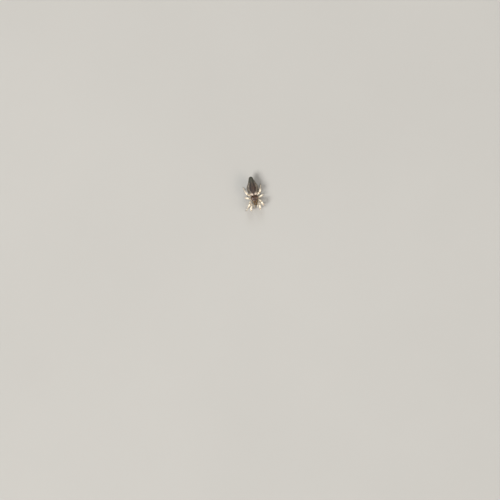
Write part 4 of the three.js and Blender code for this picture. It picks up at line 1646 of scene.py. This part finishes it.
FLOOR_RADIUS = 0.26
# How the floor's edge curves up into a wall: each step's way out and its rise.
FLOOR_CURVE = ((0.05, 0.006), (0.045, 0.02), (0.03, 0.035), (0.015, 0.05), (0.0, 0.07))
# Each light's place, size, power and colour.
LIGHTS = {
    "key_light": ((-0.9, -0.5, 1.25), 0.8, 29, (1.0, 0.98, 0.95)),
    "fill_light": ((1.1, -0.7, 0.9), 1.1, 12, (1.0, 0.86, 0.74)),
    "rim_light": ((0.3, 1.3, 0.9), 0.9, 12, (0.93, 0.97, 1.0)),
}


def made_floor():
    """A wide pale floor whose edge is drawn out and up all round."""
    material, tree, shader, place = blank("pale_floor", Roughness=0.85, Specular_IOR_Level=0.2)
    shade = cloud(tree, place, 0.02, 3.0)
    feed(tree, shader, Base_Color=blend(tree, shade, hue("a5a4a1"), hue("abaaa7")))
    set_down()
    bpy.ops.mesh.primitive_circle_add(vertices=96, radius=FLOOR_RADIUS, fill_type="NGON")
    floor = named(bpy.context.object, "floor")
    bpy.ops.object.mode_set(mode="EDIT")
    bpy.ops.mesh.select_all(action="SELECT")
    bpy.ops.mesh.select_mode(type="EDGE")
    bpy.ops.mesh.select_non_manifold()
    for out, rise in FLOOR_CURVE:
        edit = bmesh.from_edit_mesh(floor.data)
        picked = [vertex for vertex in edit.verts if vertex.select]
        radius = math.hypot(picked[0].co.x, picked[0].co.y)
        bpy.ops.mesh.extrude_edges_move(TRANSFORM_OT_translate={"value": (0, 0, rise)})
        grow = (radius + out) / radius
        bpy.ops.transform.resize(value=(grow, grow, 1), center_override=(0, 0, 0))
    bpy.ops.object.mode_set(mode="OBJECT")
    put_in_order(floor)
    bpy.ops.object.shade_smooth()
    floor.data.materials.append(material)
    set_down()
    return floor


made_floor()
for light_name, (place, size, power, warmth) in LIGHTS.items():
    bpy.ops.object.light_add(type="AREA", location=place)
    light = bpy.context.object
    light.name = light_name
    light.data.shape = "DISK"
    light.data.size = size
    light.data.energy = power
    light.data.color = warmth
    light.rotation_euler = (-Vector(place)).to_track_quat("-Z", "Y").to_euler()

world = bpy.data.worlds.new("soft_sky")
bpy.context.scene.world = world
world.use_nodes = True
world.node_tree.nodes["Background"].inputs["Color"].default_value = hue("dcdcda")
world.node_tree.nodes["Background"].inputs["Strength"].default_value = 0.5

# The camera looks straight down, turned so that the tail lies a little left of upright.
CAMERA_PLACE = (BODY_LINE - 3.44 * MM, WAIST - 12.85 * MM, 334.8 * MM)
bpy.ops.object.camera_add(
    location=CAMERA_PLACE,
    rotation=(0, 0, math.radians(-11)),
)
camera = bpy.context.object
camera.name = "camera"
camera.data.lens = 100
camera.data.sensor_width = 36
camera.data.clip_start = 0.001
camera.data.clip_end = 50
bpy.context.scene.camera = camera

bpy.context.scene.view_settings.view_transform = "Standard"
